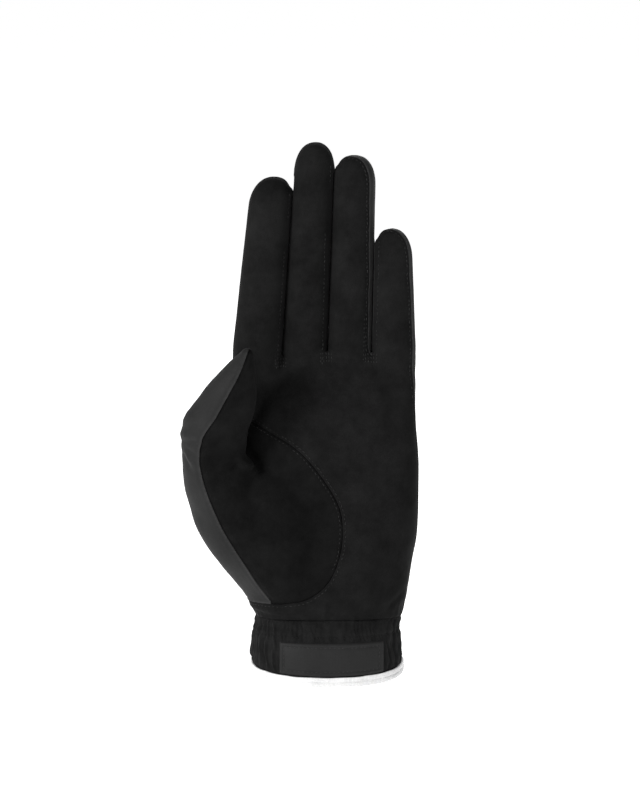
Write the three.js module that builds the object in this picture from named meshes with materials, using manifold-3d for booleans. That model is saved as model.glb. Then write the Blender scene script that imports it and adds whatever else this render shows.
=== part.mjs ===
// Left-hand golf rain glove, shown as worn: fingers up, palm towards -Y, thumb folded forward on the -X side.
// Millimetres, +Z up. The origin is the centre of the rim of the wrist opening.
import * as THREE from "three";
import { mergeVertices } from "three/addons/utils/BufferGeometryUtils.js";
import Module from "manifold-3d";

const wasm = await Module();
wasm.setup();

// Walls and clearances
const panelWall = 1.2;
const cuffWall = 1.5;
const labelWall = 1.1;
const bindingWall = 0.9;
const seamGap = 0.3;
const fingerGap = 0.25;

// Palm and cuff
const cuffHeight = 24;
const cuffWidth = 64.6;
const palmLength = 112.5;
const palmFrontDepth = 21;
const palmBackDepth = 19;
const cuffDepth = 21.5;
const rimDropHeight = 4.3; // how far the rim drops at the palm and rises at the back
const knuckleArchDepth = 4; // how far the outer fingers sit forward of the middle ones
const fingerCurlDepth = 15; // how far the tip of the longest finger leans forward
const tipLength = 12.5;

// Fingers from the thumb side outwards. width is a share of fingersWidth, thickness of fingerThickness, and
// length, lean and webDrop of middleLength. taper is the share of the width lost towards the tip, lean how
// far the tip leans towards +X, webDrop how far the web after the finger lies below the others, and show
// how far forward the seam on its +X edge lies, as a share of seamForwardDepth
const knuckleWidth = 78.2;
const middleLength = 91.8;
const fingerThickness = 19.4;
const fingersWidth = knuckleWidth - 3 * fingerGap;
const fingerShares = [
  { name: "index", width: 0.272, length: 0.839, thickness: 1.0,
    taper: 0.09, lean: 0.068, webDrop: 0.033, show: 1 },
  { name: "middle", width: 0.247, length: 1.0, thickness: 0.98,
    taper: 0.12, lean: 0.052, webDrop: 0, show: 1 },
  { name: "ring", width: 0.242, length: 0.94, thickness: 0.95,
    taper: 0.06, lean: 0.029, webDrop: 0, show: 1.45 },
  { name: "little", width: 0.239, length: 0.597, thickness: 0.866,
    taper: 0.14, lean: 0, webDrop: 0, show: 1 },
];
const fingers = fingerShares.map((finger) => ({
  name: finger.name,
  width: finger.width * fingersWidth,
  length: finger.length * middleLength,
  thickness: finger.thickness * fingerThickness,
  taper: finger.taper,
  lean: finger.lean * middleLength,
  webDrop: finger.webDrop * middleLength,
  show: finger.show,
}));

// Seams, trim and gathers
const forchetteWidth = 8.5;
const forchetteFoot = 0.035; // how far the strips reach below the webs, as a share of palmLength
const seamForwardDepth = 4.2;
const labelWidth = 43.8;
const labelOffset = 1.9; // how far the label sits from the cuff's centre, away from the thumb
const bindingHeight = 4;
const gatherCount = 32;
const gatherDepth = 0.55;

// Facets round each form
const palmSides = 24;
const fingerSides = 16;
const thumbSides = 16;
const insideShare = 0.75; // the hollows have this share of the facets outside
const sidesPerGather = 2;
const plainSides = 36;
const roundSteps = 3;
const facetDepth = 0.09;

// Palm sections, bottom to top: at is a share of palmLength, left and right of half the knuckle width,
// front of palmFrontDepth and back of palmBackDepth
const palmSections = [
  { at: 0.0, left: 0.745, right: 0.82, front: 0.87, back: 0.9 },
  { at: 0.035, left: 0.8, right: 0.87, front: 0.95, back: 0.97 },
  { at: 0.1, left: 0.815, right: 0.905, front: 0.98, back: 1.0 },
  { at: 0.2, left: 0.83, right: 0.945, front: 0.97, back: 0.97 },
  { at: 0.31, left: 0.85, right: 1.0, front: 0.93, back: 0.94 },
  { at: 0.45, left: 0.88, right: 1.03, front: 0.86, back: 0.9 },
  { at: 0.6, left: 0.92, right: 1.025, front: 0.78, back: 0.84 },
  { at: 0.74, left: 0.955, right: 1.0, front: 0.7, back: 0.76 },
  { at: 0.85, left: 0.98, right: 0.99, front: 0.59, back: 0.64 },
  { at: 0.93, left: 0.985, right: 0.985, front: 0.5, back: 0.54 },
  { at: 0.98, left: 0.96, right: 0.96, front: 0.42, back: 0.46 },
  { at: 1.01, left: 0.93, right: 0.93, front: 0.32, back: 0.35 },
];
const palmSquareness = 2.5;

// Finger sections: at is a share of the finger's length above the web, wide and deep of its width
// and thickness
const fingerSections = [
  { at: -0.26, wide: 0.72, deep: 0.66 },
  { at: -0.1, wide: 0.95, deep: 0.94 },
  { at: 0.0, wide: 1.0, deep: 1.0 },
  { at: 0.2, wide: 1.0, deep: 0.96 },
  { at: 0.44, wide: 1.0, deep: 0.95 },
  { at: 0.64, wide: 1.0, deep: 0.88 },
  { at: 0.8, wide: 1.0, deep: 0.84 },
];
const fingerSquareness = 2.25;

// Thumb from inside the heel to the tip. x is a share of the knuckle width, y of palmFrontDepth, z of
// palmLength; wide and deep are shares of thumbWidth and thumbDepth; seam is where the facing seam runs,
// as a share of the half width
const thumbWidth = 25.8;
const thumbDepth = 26;
const thumbSections = [
  { x: -0.1, y: 0.02, z: -0.06, wide: 0.8, deep: 0.8, seam: 0.35 },
  { x: -0.26, y: -0.14, z: 0.09, wide: 0.96, deep: 0.96, seam: 0.35 },
  { x: -0.41, y: -0.34, z: 0.245, wide: 1.1, deep: 1.06, seam: 0.35 },
  { x: -0.54, y: -0.58, z: 0.42, wide: 1.2, deep: 1.08, seam: 0.36 },
  { x: -0.613, y: -0.88, z: 0.6, wide: 1.1, deep: 1.02, seam: 0.43 },
  { x: -0.605, y: -1.13, z: 0.715, wide: 1.14, deep: 0.98, seam: 0.36 },
  { x: -0.545, y: -1.45, z: 0.825, wide: 0.98, deep: 0.92, seam: 0.24 },
  { x: -0.49, y: -1.7, z: 0.92, wide: 0.72, deep: 0.8, seam: 0.2 },
  { x: -0.45, y: -1.88, z: 0.99, wide: 0.42, deep: 0.6, seam: 0.2 },
  { x: -0.42, y: -1.99, z: 1.045, wide: 0.12, deep: 0.24, seam: 0.2 },
];
const thumbSquareness = 2.1;
const cuffSquareness = 2.2;
const thumbStations = 13;
const thumbWebAt = 0.47; // share of the thumb's course where it leaves the hand
const thumbRearSeam = 0.45; // where the hidden seam runs, as a share of the half width
const cutterClearance = 1.6;
const leastEdgeStep = 0.05; // between neighbouring finger edges on a cutter

// The ball of the thumb, heel to web, in level sections: x and wide are shares of the knuckle width,
// y and deep of palmFrontDepth, z of palmLength
const ballSections = [
  { x: -0.2, y: -0.3, z: 0.05, wide: 0.15, deep: 0.5 },
  { x: -0.24, y: -0.42, z: 0.13, wide: 0.22, deep: 0.6 },
  { x: -0.27, y: -0.5, z: 0.25, wide: 0.3, deep: 0.64 },
  { x: -0.31, y: -0.55, z: 0.37, wide: 0.31, deep: 0.61 },
  { x: -0.36, y: -0.58, z: 0.47, wide: 0.26, deep: 0.5 },
  { x: -0.41, y: -0.58, z: 0.55, wide: 0.17, deep: 0.34 },
  { x: -0.43, y: -0.58, z: 0.6, wide: 0.06, deep: 0.12 },
];

// The thumb panel's seam on the palm, from the thumb side round the ball of the thumb to the heel;
// x is a share of the knuckle width, z of palmLength
const heelStripFoot = 0.062; // where the back cloth at the heel ends, as a share of palmLength
const insetSeam = [
  { x: -1.1, z: 0.79 },
  { x: -0.53, z: 0.78 },
  { x: -0.385, z: 0.745 },
  { x: -0.3, z: 0.712 },
  { x: -0.155, z: 0.647 },
  { x: -0.01, z: 0.528 },
  { x: 0.075, z: 0.414 },
  { x: 0.075, z: 0.26 },
  { x: 0.0, z: 0.14 },
  { x: -0.11, z: 0.082 },
  { x: -0.25, z: heelStripFoot },
  { x: -1.1, z: heelStripFoot },
];

// Creases in the palm, each a line from one end to the other, as shares of the knuckle width and palmLength;
// breadth and depth are shares of palmFrontDepth
const palmCreases = [
  { fromX: -0.36, fromZ: 0.77, toX: -0.02, toZ: 0.97, breadth: 0.2, depth: 0.085 },
  { fromX: 0.24, fromZ: 0.98, toX: 0.42, toZ: 0.8, breadth: 0.16, depth: 0.06 },
  { fromX: 0.1, fromZ: 0.62, toX: 0.14, toZ: 0.34, breadth: 0.5, depth: 0.06 },
];

// Cuff sections, rim to top: at is a share of cuffHeight, left, right and deep of the cuff's half sizes
// at the rim
const cuffSections = [
  { at: 0.0, left: 0.985, right: 0.985, deep: 0.995, gather: 0.2 },
  { at: 0.2, left: 0.985, right: 0.985, deep: 0.99, gather: 0.5 },
  { at: 0.4, left: 0.975, right: 0.975, deep: 0.97, gather: 1.0 },
  { at: 0.62, left: 0.95, right: 0.965, deep: 0.935, gather: 1.0 },
  { at: 0.85, left: 0.92, right: 0.95, deep: 0.89, gather: 0.8 },
];
const labelTopAt = 0.6; // the label's upper edge, as a share of cuffHeight
const calmWidth = 3; // the cuff lies flat this far past the label's ends

const webHeight = cuffHeight + palmLength;
const halfKnuckles = knuckleWidth / 2;
const handShift = -0.015 * knuckleWidth; // the hand's middle lies a little to the thumb side of the wrist's
const reach = webHeight + middleLength;

const suede = new THREE.MeshStandardMaterial({ color: 0x161616, roughness: 0.95, metalness: 0 });
const backCloth = new THREE.MeshStandardMaterial({ color: 0x323335, roughness: 0.85, metalness: 0 });
const cuffCloth = new THREE.MeshStandardMaterial({ color: 0x151515, roughness: 0.9, metalness: 0 });
const labelRubber = new THREE.MeshStandardMaterial({ color: 0x272728, roughness: 0.6, metalness: 0 });
const whiteTape = new THREE.MeshStandardMaterial({ color: 0xf4f4f4, roughness: 0.8, metalness: 0 });

// A closed surface through rings that all have the same number of points
function loft(rings) {
  const sides = rings[0].length;
  const points = rings.flat();
  const middle = (ring) =>
    ring.reduce((sum, p) => sum.add(p), new THREE.Vector3()).divideScalar(sides);
  const first = points.push(middle(rings[0])) - 1;
  const last = points.push(middle(rings.at(-1))) - 1;
  const faces = [];
  for (let row = 0; row + 1 < rings.length; row++) {
    for (let side = 0; side < sides; side++) {
      const next = (side + 1) % sides;
      const [a, b] = [row * sides + side, row * sides + next];
      const [c, d] = [a + sides, b + sides];
      faces.push(a, b, d, a, d, c);
    }
  }
  const top = (rings.length - 1) * sides;
  for (let side = 0; side < sides; side++) {
    const next = (side + 1) % sides;
    faces.push(first, next, side, last, top + side, top + next);
  }
  const geometry = new THREE.BufferGeometry().setFromPoints(points);
  return geometry.setIndex(faces);
}

// A closed band through rings, whose last ring joins the first again, such as a folded tape
function loopedLoft(rings) {
  const sides = rings[0].length;
  const faces = [];
  rings.forEach((ring, row) => {
    const nextRow = (row + 1) % rings.length;
    for (let side = 0; side < sides; side++) {
      const next = (side + 1) % sides;
      const [a, b] = [row * sides + side, row * sides + next];
      const [c, d] = [nextRow * sides + side, nextRow * sides + next];
      faces.push(a, b, d, a, d, c);
    }
  });
  return new THREE.BufferGeometry().setFromPoints(rings.flat()).setIndex(faces);
}

// A geometry as a solid that can be joined and cut, its faces turned outwards
function solid(geometry) {
  const shape = geometry.clone();
  shape.deleteAttribute("normal");
  shape.deleteAttribute("uv");
  const merged = mergeVertices(shape, 1e-4);
  const vertProperties = merged.attributes.position.array;
  const triVerts = new Uint32Array(merged.index.array);
  const make = () => new wasm.Manifold(new wasm.Mesh({ numProp: 3, vertProperties, triVerts }));
  const made = make();
  if (made.volume() > 0) return made;
  triVerts.reverse();
  return make();
}

function geometryOf(made) {
  const mesh = made.getMesh();
  const positions = new THREE.BufferAttribute(new Float32Array(mesh.vertProperties), 3);
  const geometry = new THREE.BufferGeometry().setAttribute("position", positions);
  geometry.setIndex(new THREE.BufferAttribute(new Uint32Array(mesh.triVerts), 1));
  geometry.computeVertexNormals();
  return geometry;
}

// Angles round a form, from first on, fewer of them round a hollow
function anglesRound(sides, inset, first = 0) {
  const count = inset > 0 ? Math.round(sides * insideShare) : sides;
  return Array.from({ length: count }, (_, side) => (2 * Math.PI * (side + first)) / count);
}

const power = (value, squareness) => Math.sign(value) * Math.abs(value) ** (2 / squareness);
const smooth = (value) => {
  const t = Math.min(1, Math.max(0, value));
  return t * t * (3 - 2 * t);
};

// The surface midway between palm and back, which the fingers and the side seams follow
function centreDepth(x, z) {
  const along = Math.max(0, z - cuffHeight) / (reach - cuffHeight);
  const across = (x - handShift) / halfKnuckles;
  const archRise = smooth((z - cuffHeight) / palmLength);
  return -fingerCurlDepth * along ** 2.4 - knuckleArchDepth * archRise * Math.min(1.4, across ** 2);
}

function creaseDepth(x, z) {
  return palmCreases.reduce((sum, crease) => {
    const line = new THREE.Line3(
      new THREE.Vector3(crease.fromX * knuckleWidth, 0, cuffHeight + crease.fromZ * palmLength),
      new THREE.Vector3(crease.toX * knuckleWidth, 0, cuffHeight + crease.toZ * palmLength),
    );
    const point = new THREE.Vector3(x, 0, z);
    const gap = line.closestPointToPoint(point, true, new THREE.Vector3()).distanceTo(point);
    const breadth = crease.breadth * palmFrontDepth;
    return sum + crease.depth * palmFrontDepth * Math.exp(-((gap / breadth) ** 2));
  }, 0);
}

// Fingers stand side by side with an even gap at their roots, each leaning its own way
const widthLine = (finger, z) =>
  finger.width * (1 - (finger.taper * (z - webHeight)) / finger.length);
function fingerCentre(index, z) {
  const before = fingers.slice(0, index).reduce((sum, finger) => sum + finger.width + fingerGap, 0);
  const { width, lean, length } = fingers[index];
  return handShift - halfKnuckles + before + width / 2 + (lean * (z - webHeight)) / length;
}

// Where the webs between fingers lie lower than the rest
function webDropAt(x) {
  return fingers.slice(0, -1).reduce((sum, finger, index) => {
    const centre = (fingerCentre(index, webHeight) + fingerCentre(index + 1, webHeight)) / 2;
    return sum + finger.webDrop * Math.exp(-(((x - centre) / (finger.width / 3)) ** 2));
  }, 0);
}

function palmRing(section, inset) {
  const z = cuffHeight + section.at * palmLength;
  const [left, right] = [section.left * halfKnuckles - inset, section.right * halfKnuckles - inset];
  const [front, back] = [section.front * palmFrontDepth - inset, section.back * palmBackDepth - inset];
  return anglesRound(palmSides, 0).map((angle) => {
    const [c, s] = [Math.cos(angle), Math.sin(angle)];
    const x = handShift + power(c, palmSquareness) * (c > 0 ? right : left);
    const drop = webDropAt(x) * smooth((section.at - 0.8) / 0.2);
    const dent = s < 0 ? creaseDepth(x, z) * -s : 0;
    const y = centreDepth(x, z) + power(s, palmSquareness) * (s > 0 ? back : front) + dent;
    return new THREE.Vector3(x, y, z - drop);
  });
}

function palmForm(inset) {
  const rings = palmSections.map((section) => palmRing(section, inset));
  if (inset > 0) {
    rings.forEach((ring, row) => {
      const lift = row === 0 ? -cutterClearance : row === rings.length - 1 ? -inset : 0;
      ring.forEach((p) => p.setZ(p.z + lift));
    });
  }
  return solid(loft(rings));
}

function fingerRing(index, at, wide, deep, inset, hollow = inset) {
  const finger = fingers[index];
  const z = webHeight + at * finger.length;
  const x = fingerCentre(index, z);
  const halfWidth = Math.max(0.05, (wide * widthLine(finger, z)) / 2 - inset);
  const halfDepth = Math.max(0.05, (deep * finger.thickness) / 2 - inset);
  return anglesRound(fingerSides, hollow, 0.5).map((angle) => {
    const px = x + power(Math.cos(angle), fingerSquareness) * halfWidth;
    const py = centreDepth(x, z) + power(Math.sin(angle), fingerSquareness) * halfDepth;
    return new THREE.Vector3(px, py, z);
  });
}

function fingerForm(index, inset) {
  const { length } = fingers[index];
  const shoulder = 1 - tipLength / length;
  const end = fingerSections.at(-1);
  const rings = fingerSections
    .filter((section) => section.at < shoulder)
    .map(({ at, wide, deep }) => fingerRing(index, at, wide, deep, inset));
  for (let step = 0; step <= roundSteps; step++) {
    const angle = (0.47 * Math.PI * step) / roundSteps;
    const at = shoulder + ((tipLength - inset) / length) * Math.sin(angle);
    const shrink = Math.cos(angle) ** 0.8;
    const grown = (share, size) => (share * size - 2 * inset) * shrink;
    const z = webHeight + at * length;
    const wide = grown(end.wide, widthLine(fingers[index], z)) / widthLine(fingers[index], z);
    const deep = grown(end.deep, fingers[index].thickness) / fingers[index].thickness;
    rings.push(fingerRing(index, at, wide, deep, 0, inset));
  }
  return solid(loft(rings));
}

// The thumb's course, and its width, depth and seam along it
const thumbCourse = new THREE.CatmullRomCurve3(
  thumbSections.map(
    ({ x, y, z }) =>
      new THREE.Vector3(x * knuckleWidth, y * palmFrontDepth, cuffHeight + z * palmLength),
  ),
);
const thumbSizes = new THREE.CatmullRomCurve3(
  thumbSections.map(({ wide, deep, seam }) => new THREE.Vector3(wide, deep, seam)),
);

function ballForm(inset) {
  const rings = ballSections.map(({ x, y, z, wide, deep }) =>
    anglesRound(palmSides, inset).map((angle) => {
      const px = x * knuckleWidth + Math.cos(angle) * (wide * knuckleWidth - inset);
      const py = y * palmFrontDepth + Math.sin(angle) * (deep * palmFrontDepth - inset);
      return new THREE.Vector3(px, py, cuffHeight + z * palmLength);
    }),
  );
  return solid(loft(rings));
}

function thumbStation(along) {
  const centre = thumbCourse.getPoint(along);
  const tangent = thumbCourse.getTangent(along);
  const facing = new THREE.Vector3(0, -1, 0).projectOnPlane(tangent).normalize();
  const across = new THREE.Vector3().crossVectors(tangent, facing);
  const sizes = thumbSizes.getPoint(along);
  const halfWidth = (sizes.x * thumbWidth) / 2;
  const halfDepth = (sizes.y * thumbDepth) / 2;
  const at = (u, v) => centre.clone().addScaledVector(across, u).addScaledVector(facing, v);
  return { at, halfWidth, halfDepth, seam: sizes.z };
}

function thumbForm(inset, start = 0) {
  const stations = Math.ceil(thumbStations * (1 - start));
  const tip = 1 - Math.max(0, inset) / (thumbCourse.getLength() * 1.1);
  const rings = Array.from({ length: stations + 1 }, (_, step) => {
    const { at, halfWidth, halfDepth } = thumbStation(start + ((tip - start) * step) / stations);
    return anglesRound(thumbSides, inset).map((angle) => {
      const u = power(Math.cos(angle), thumbSquareness) * Math.max(0.1, halfWidth - inset);
      const v = power(Math.sin(angle), thumbSquareness) * Math.max(0.1, halfDepth - inset);
      return at(u, v);
    });
  });
  return solid(loft(rings));
}

// Everything on the back-cloth side of the two seams that run up the thumb, moved by shift
function thumbBackCutter(shift) {
  const rings = Array.from({ length: thumbStations + 1 }, (_, step) => {
    const { at, halfWidth, halfDepth, seam } = thumbStation(step / thumbStations);
    const side = halfWidth + cutterClearance;
    const deep = halfDepth + cutterClearance;
    return [
      at(-seam * halfWidth + shift, deep),
      at(-side, deep),
      at(-side, -deep),
      at(thumbRearSeam * halfWidth + shift, -deep),
    ];
  });
  return solid(loft(rings));
}

// All that lies on one side of the side seams: -1 for the palm, 1 for the back. The seams follow the
// fingers' edges, and those on the edges that face the little finger's side lie forward of the middle
function halfCutter(sign) {
  const rows = 16;
  const low = -cuffHeight;
  const high = reach + cutterClearance;
  const far = sign * 4 * palmFrontDepth;
  const rings = Array.from({ length: rows + 1 }, (_, row) => {
    const z = low + ((high - low) * row) / rows;
    const show = seamForwardDepth * smooth((z - cuffHeight) / palmLength);
    const onSeam = (x, forward) => {
      const y = centreDepth(x, z) - forward + (sign * seamGap) / 2;
      return new THREE.Vector3(x, y, z);
    };
    const edges = fingers.flatMap((finger, index) => {
      const centre = fingerCentre(index, z);
      const halfWidth = widthLine(finger, z) / 2;
      return [onSeam(centre - halfWidth, 0), onSeam(centre + halfWidth, show * finger.show)];
    });
    const line = [onSeam(-2 * halfKnuckles, 0), ...edges, onSeam(2 * halfKnuckles, show)];
    for (let next = 1; next < line.length; next++) {
      line[next].x = Math.max(line[next].x, line[next - 1].x + leastEdgeStep);
    }
    const ends = [line.at(-1).clone().setY(far), line[0].clone().setY(far)];
    return [...line, ...ends];
  });
  return solid(loftOfSlabs(rings));
}

// A loft whose end faces are fans from the last corner, for rings that aren't star-shaped about their middle
function loftOfSlabs(rings) {
  const sides = rings[0].length;
  const faces = [];
  for (let row = 0; row + 1 < rings.length; row++) {
    for (let side = 0; side < sides; side++) {
      const next = (side + 1) % sides;
      const [a, b] = [row * sides + side, row * sides + next];
      const [c, d] = [a + sides, b + sides];
      faces.push(a, b, d, a, d, c);
    }
  }
  const flatRing = rings[0].map((p) => new THREE.Vector2(p.x, p.y));
  const fill = THREE.ShapeUtils.triangulateShape(flatRing, []);
  const lastFlat = rings.at(-1).map((p) => new THREE.Vector2(p.x, p.y));
  const top = (rings.length - 1) * sides;
  const turned = THREE.ShapeUtils.isClockWise(flatRing);
  for (const [a, b, c] of fill) faces.push(...(turned ? [a, b, c] : [a, c, b]));
  for (const [a, b, c] of THREE.ShapeUtils.triangulateShape(lastFlat, [])) {
    faces.push(...(turned ? [top + a, top + c, top + b] : [top + a, top + b, top + c]));
  }
  return new THREE.BufferGeometry().setFromPoints(rings.flat()).setIndex(faces);
}

// The thumb panel's outline on the palm, run through the hand and moved outwards by shift
function insetCutter(shift) {
  const corners = insetSeam.map(
    ({ x, z }) => new THREE.Vector3(x * knuckleWidth, cuffHeight + z * palmLength, 0),
  );
  const curve = new THREE.CatmullRomCurve3(corners.slice(1, -1));
  const line = [corners[0], ...curve.getPoints(22), corners.at(-1)];
  const outline = line.map((p, index) => {
    const before = line[Math.max(0, index - 1)];
    const after = line[Math.min(line.length - 1, index + 1)];
    const away = new THREE.Vector3(before.y - after.y, after.x - before.x, 0).normalize();
    return new THREE.Vector2(p.x, p.y).addScaledVector(away, shift);
  });
  const depth = 6 * palmFrontDepth;
  const prism = new THREE.ExtrudeGeometry(new THREE.Shape(outline), {
    depth,
    bevelEnabled: false,
  });
  return solid(prism.rotateX(Math.PI / 2).translate(0, depth / 4, 0));
}

// The strip that joins palm and back between two fingers, grown by shift
function forchetteCutter(index, shift) {
  const top = Math.min(fingers[index].length, fingers[index + 1].length) - 0.55 * tipLength;
  const bottom = -forchetteFoot * palmLength - fingers[index].webDrop;
  const steps = 7;
  const rings = Array.from({ length: steps + 1 }, (_, step) => {
    const share = step / steps;
    const z = webHeight + bottom - shift + (top - bottom + 2 * shift) * share;
    const fullness = 0.25 + 0.75 * smooth(share / 0.22) * smooth((1 - share) / 0.25);
    const half = (forchetteWidth / 2) * fullness + shift;
    const [left, right] = [fingerCentre(index, z), fingerCentre(index + 1, z)];
    return [
      [left, -half],
      [right, -half],
      [right, half],
      [left, half],
    ].map(([x, y]) => new THREE.Vector3(x, centreDepth(x, z) + y, z));
  });
  return solid(loft(rings));
}

// The cuff's half sizes at a section, and a point of its outline, moved in by inset
const labelReach = labelWidth / 2 + calmWidth;

function cuffHalfSizes(section) {
  return {
    left: (section.left * cuffWidth) / 2,
    right: (section.right * cuffWidth) / 2,
    deep: section.deep * cuffDepth,
  };
}

function cuffPoint(sizes, angle, inset, gather) {
  const [c, s] = [Math.cos(angle), Math.sin(angle)];
  const x = power(c, cuffSquareness) * (c > 0 ? sizes.right : sizes.left);
  const behindLabel = s < 0 ? smooth((labelReach - Math.abs(x - labelOffset)) / calmWidth) : 0;
  const ripple = gatherDepth * gather * (1 - behindLabel) * Math.cos(gatherCount * angle);
  const out = ripple - inset;
  return new THREE.Vector2(x + c * out, power(s, cuffSquareness) * sizes.deep + s * out);
}

const rimLevel = (y) => (rimDropHeight * y) / cuffDepth;

function cuffForm(inset, sides) {
  const rings = cuffSections.map((section) =>
    Array.from({ length: sides }, (_, side) => {
      const angle = (2 * Math.PI * side) / sides;
      const p = cuffPoint(cuffHalfSizes(section), angle, inset, section.gather);
      const lowest = rimLevel(p.y) + bindingWall + seamGap;
      const highest = cuffHeight - seamGap;
      const drop = inset > 0 && section.at === 0 ? cutterClearance : 0;
      return new THREE.Vector3(p.x, p.y, lowest + (highest - lowest) * section.at - drop);
    }),
  );
  const seam = palmSections[0];
  const seamRing = Array.from({ length: sides }, (_, side) => {
    const angle = (2 * Math.PI * side) / sides;
    const [c, s] = [Math.cos(angle), Math.sin(angle)];
    const wide = (c > 0 ? seam.right : seam.left) * halfKnuckles - inset;
    const deep = (s > 0 ? seam.back * palmBackDepth : seam.front * palmFrontDepth) - inset;
    const x = handShift + power(c, palmSquareness) * wide;
    const lift = inset > 0 ? cutterClearance : 0;
    return new THREE.Vector3(x, power(s, palmSquareness) * deep, cuffHeight - seamGap + lift);
  });
  return solid(loft([...rings, seamRing]));
}

// A tape folded over the rim of the cuff, clear of the gathers beneath it
function bindingForm() {
  const rim = { ...cuffSections[0], gather: 0 };
  const outerFace = seamGap + 1.4 * gatherDepth * cuffSections[1].gather;
  const innerFace = -cuffWall - 1.3 * seamGap;
  const bend = 0.5 * bindingWall;
  const profile = [
    [outerFace, bindingHeight],
    [outerFace + bindingWall, bindingHeight],
    [outerFace + bindingWall, bend],
    [outerFace + bend, 0],
    [innerFace - bend, 0],
    [innerFace - bindingWall, bend],
    [innerFace - bindingWall, bindingHeight],
    [innerFace, bindingHeight],
    [innerFace, bindingWall],
    [outerFace, bindingWall],
  ];
  const rings = Array.from({ length: plainSides }, (_, side) => {
    const angle = (2 * Math.PI * side) / plainSides;
    const rimY = cuffPoint(cuffHalfSizes(rim), angle, 0, 0).y;
    return profile.map(([out, up]) => {
      const p = cuffPoint(cuffHalfSizes(rim), angle, -out, 0);
      return new THREE.Vector3(p.x, p.y, rimLevel(rimY) + up);
    });
  });
  return solid(loopedLoft(rings));
}

// A plain rubber label that lies on the front of the cuff, its lower edge along the binding
function labelForm() {
  const columns = 14;
  const sizesAt = (share) => {
    const above = cuffSections.findIndex((section) => section.at >= share);
    const [low, high] = [cuffSections[Math.max(0, above - 1)], cuffSections[above]];
    const mix = high.at > low.at ? (share - low.at) / (high.at - low.at) : 0;
    const blend = (key) => low[key] + (high[key] - low[key]) * mix;
    return cuffHalfSizes({ left: blend("left"), right: blend("right"), deep: blend("deep") });
  };
  const rings = Array.from({ length: columns + 1 }, (_, column) => {
    const x = labelOffset - labelWidth / 2 + (labelWidth * column) / columns;
    const corner = (share, out) => {
      const sizes = sizesAt(share);
      const side = x > 0 ? sizes.right : sizes.left;
      const s = (1 - Math.abs(x / side) ** cuffSquareness) ** (1 / cuffSquareness);
      const y = -s * sizes.deep - out;
      const lowest = rimLevel(y) + bindingWall + seamGap;
      return new THREE.Vector3(x, y, lowest + (cuffHeight - seamGap - lowest) * share);
    };
    const foot = (out) => {
      const p = corner(0, out);
      return p.setZ(rimLevel(p.y) + bindingHeight + 2 * seamGap);
    };
    const rows = [labelTopAt, labelTopAt * 0.7, labelTopAt * 0.4];
    const face = (out) => [...rows.map((share) => corner(share, out)), foot(out)];
    const outside = face(seamGap + labelWall);
    const inside = face(seamGap);
    return [...outside, ...inside.reverse()];
  });
  return solid(loft(rings));
}

// The whole skin of hand, fingers and thumb
const outer = fingers.reduce(
  (made, _, index) => made.add(fingerForm(index, 0)),
  palmForm(0).add(thumbForm(0)).add(ballForm(0)),
);
const inner = fingers.reduce(
  (made, _, index) => made.add(fingerForm(index, panelWall)),
  palmForm(panelWall).add(thumbForm(panelWall)).add(ballForm(panelWall)),
);
const wristCut = solid(
  new THREE.BoxGeometry(3 * knuckleWidth, 8 * palmFrontDepth, cuffHeight).translate(0, 0, cuffHeight / 2),
);
const skin = outer.subtract(inner).subtract(wristCut);

// Panels cut from the skin along the seams
const half = seamGap / 2;
const palmHalf = halfCutter(-1);
const backHalf = halfCutter(1);
const thumbFree = thumbForm(-cutterClearance, thumbWebAt);
const forchettes = fingers.slice(0, -1).map((finger, index) => ({
  name: `forchette_${finger.name}_${fingers[index + 1].name}`,
  shape: skin.intersect(forchetteCutter(index, 0)),
  room: forchetteCutter(index, seamGap),
}));
const forchetteRoom = forchettes.map(({ room }) => room).reduce((a, b) => a.add(b));
const aboveHeel = solid(
  new THREE.BoxGeometry(3 * knuckleWidth, 8 * palmFrontDepth, reach)
    .translate(0, 0, reach / 2 + cuffHeight + heelStripFoot * palmLength + half),
);
const thumbRegion = palmHalf.intersect(insetCutter(-half).add(thumbFree));
const palmPanel = skin
  .intersect(palmHalf)
  .subtract(insetCutter(half))
  .subtract(thumbForm(-cutterClearance - seamGap, thumbWebAt))
  .subtract(forchetteRoom);
const thumbPanel = skin.intersect(thumbRegion).subtract(thumbBackCutter(half));
const backPanel = skin
  .intersect(backHalf.add(thumbBackCutter(-half).intersect(aboveHeel)))
  .subtract(forchetteRoom);

const gatherSides = gatherCount * sidesPerGather;
const cuff = cuffForm(0, gatherSides).subtract(cuffForm(cuffWall, plainSides));

const glove = new THREE.Group();
function addPiece(name, shape, material) {
  const bodies = shape.simplify(facetDepth).decompose();
  const [main] = bodies.sort((a, b) => b.volume() - a.volume());
  const mesh = new THREE.Mesh(geometryOf(main), material);
  mesh.name = name;
  glove.add(mesh);
}
addPiece("palm_panel", palmPanel, suede);
addPiece("thumb_panel", thumbPanel, suede);
addPiece("back_panel", backPanel, backCloth);
for (const { name, shape } of forchettes) addPiece(name, shape, backCloth);
addPiece("cuff", cuff, cuffCloth);
addPiece("cuff_label", labelForm(), labelRubber);
addPiece("cuff_binding", bindingForm(), whiteTape);

export default glove;
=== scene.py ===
"""Golf rain glove: cloth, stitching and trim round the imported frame. An add-on that is run as a script."""
import math

import bpy
import numpy as np
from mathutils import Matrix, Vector, kdtree


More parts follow.
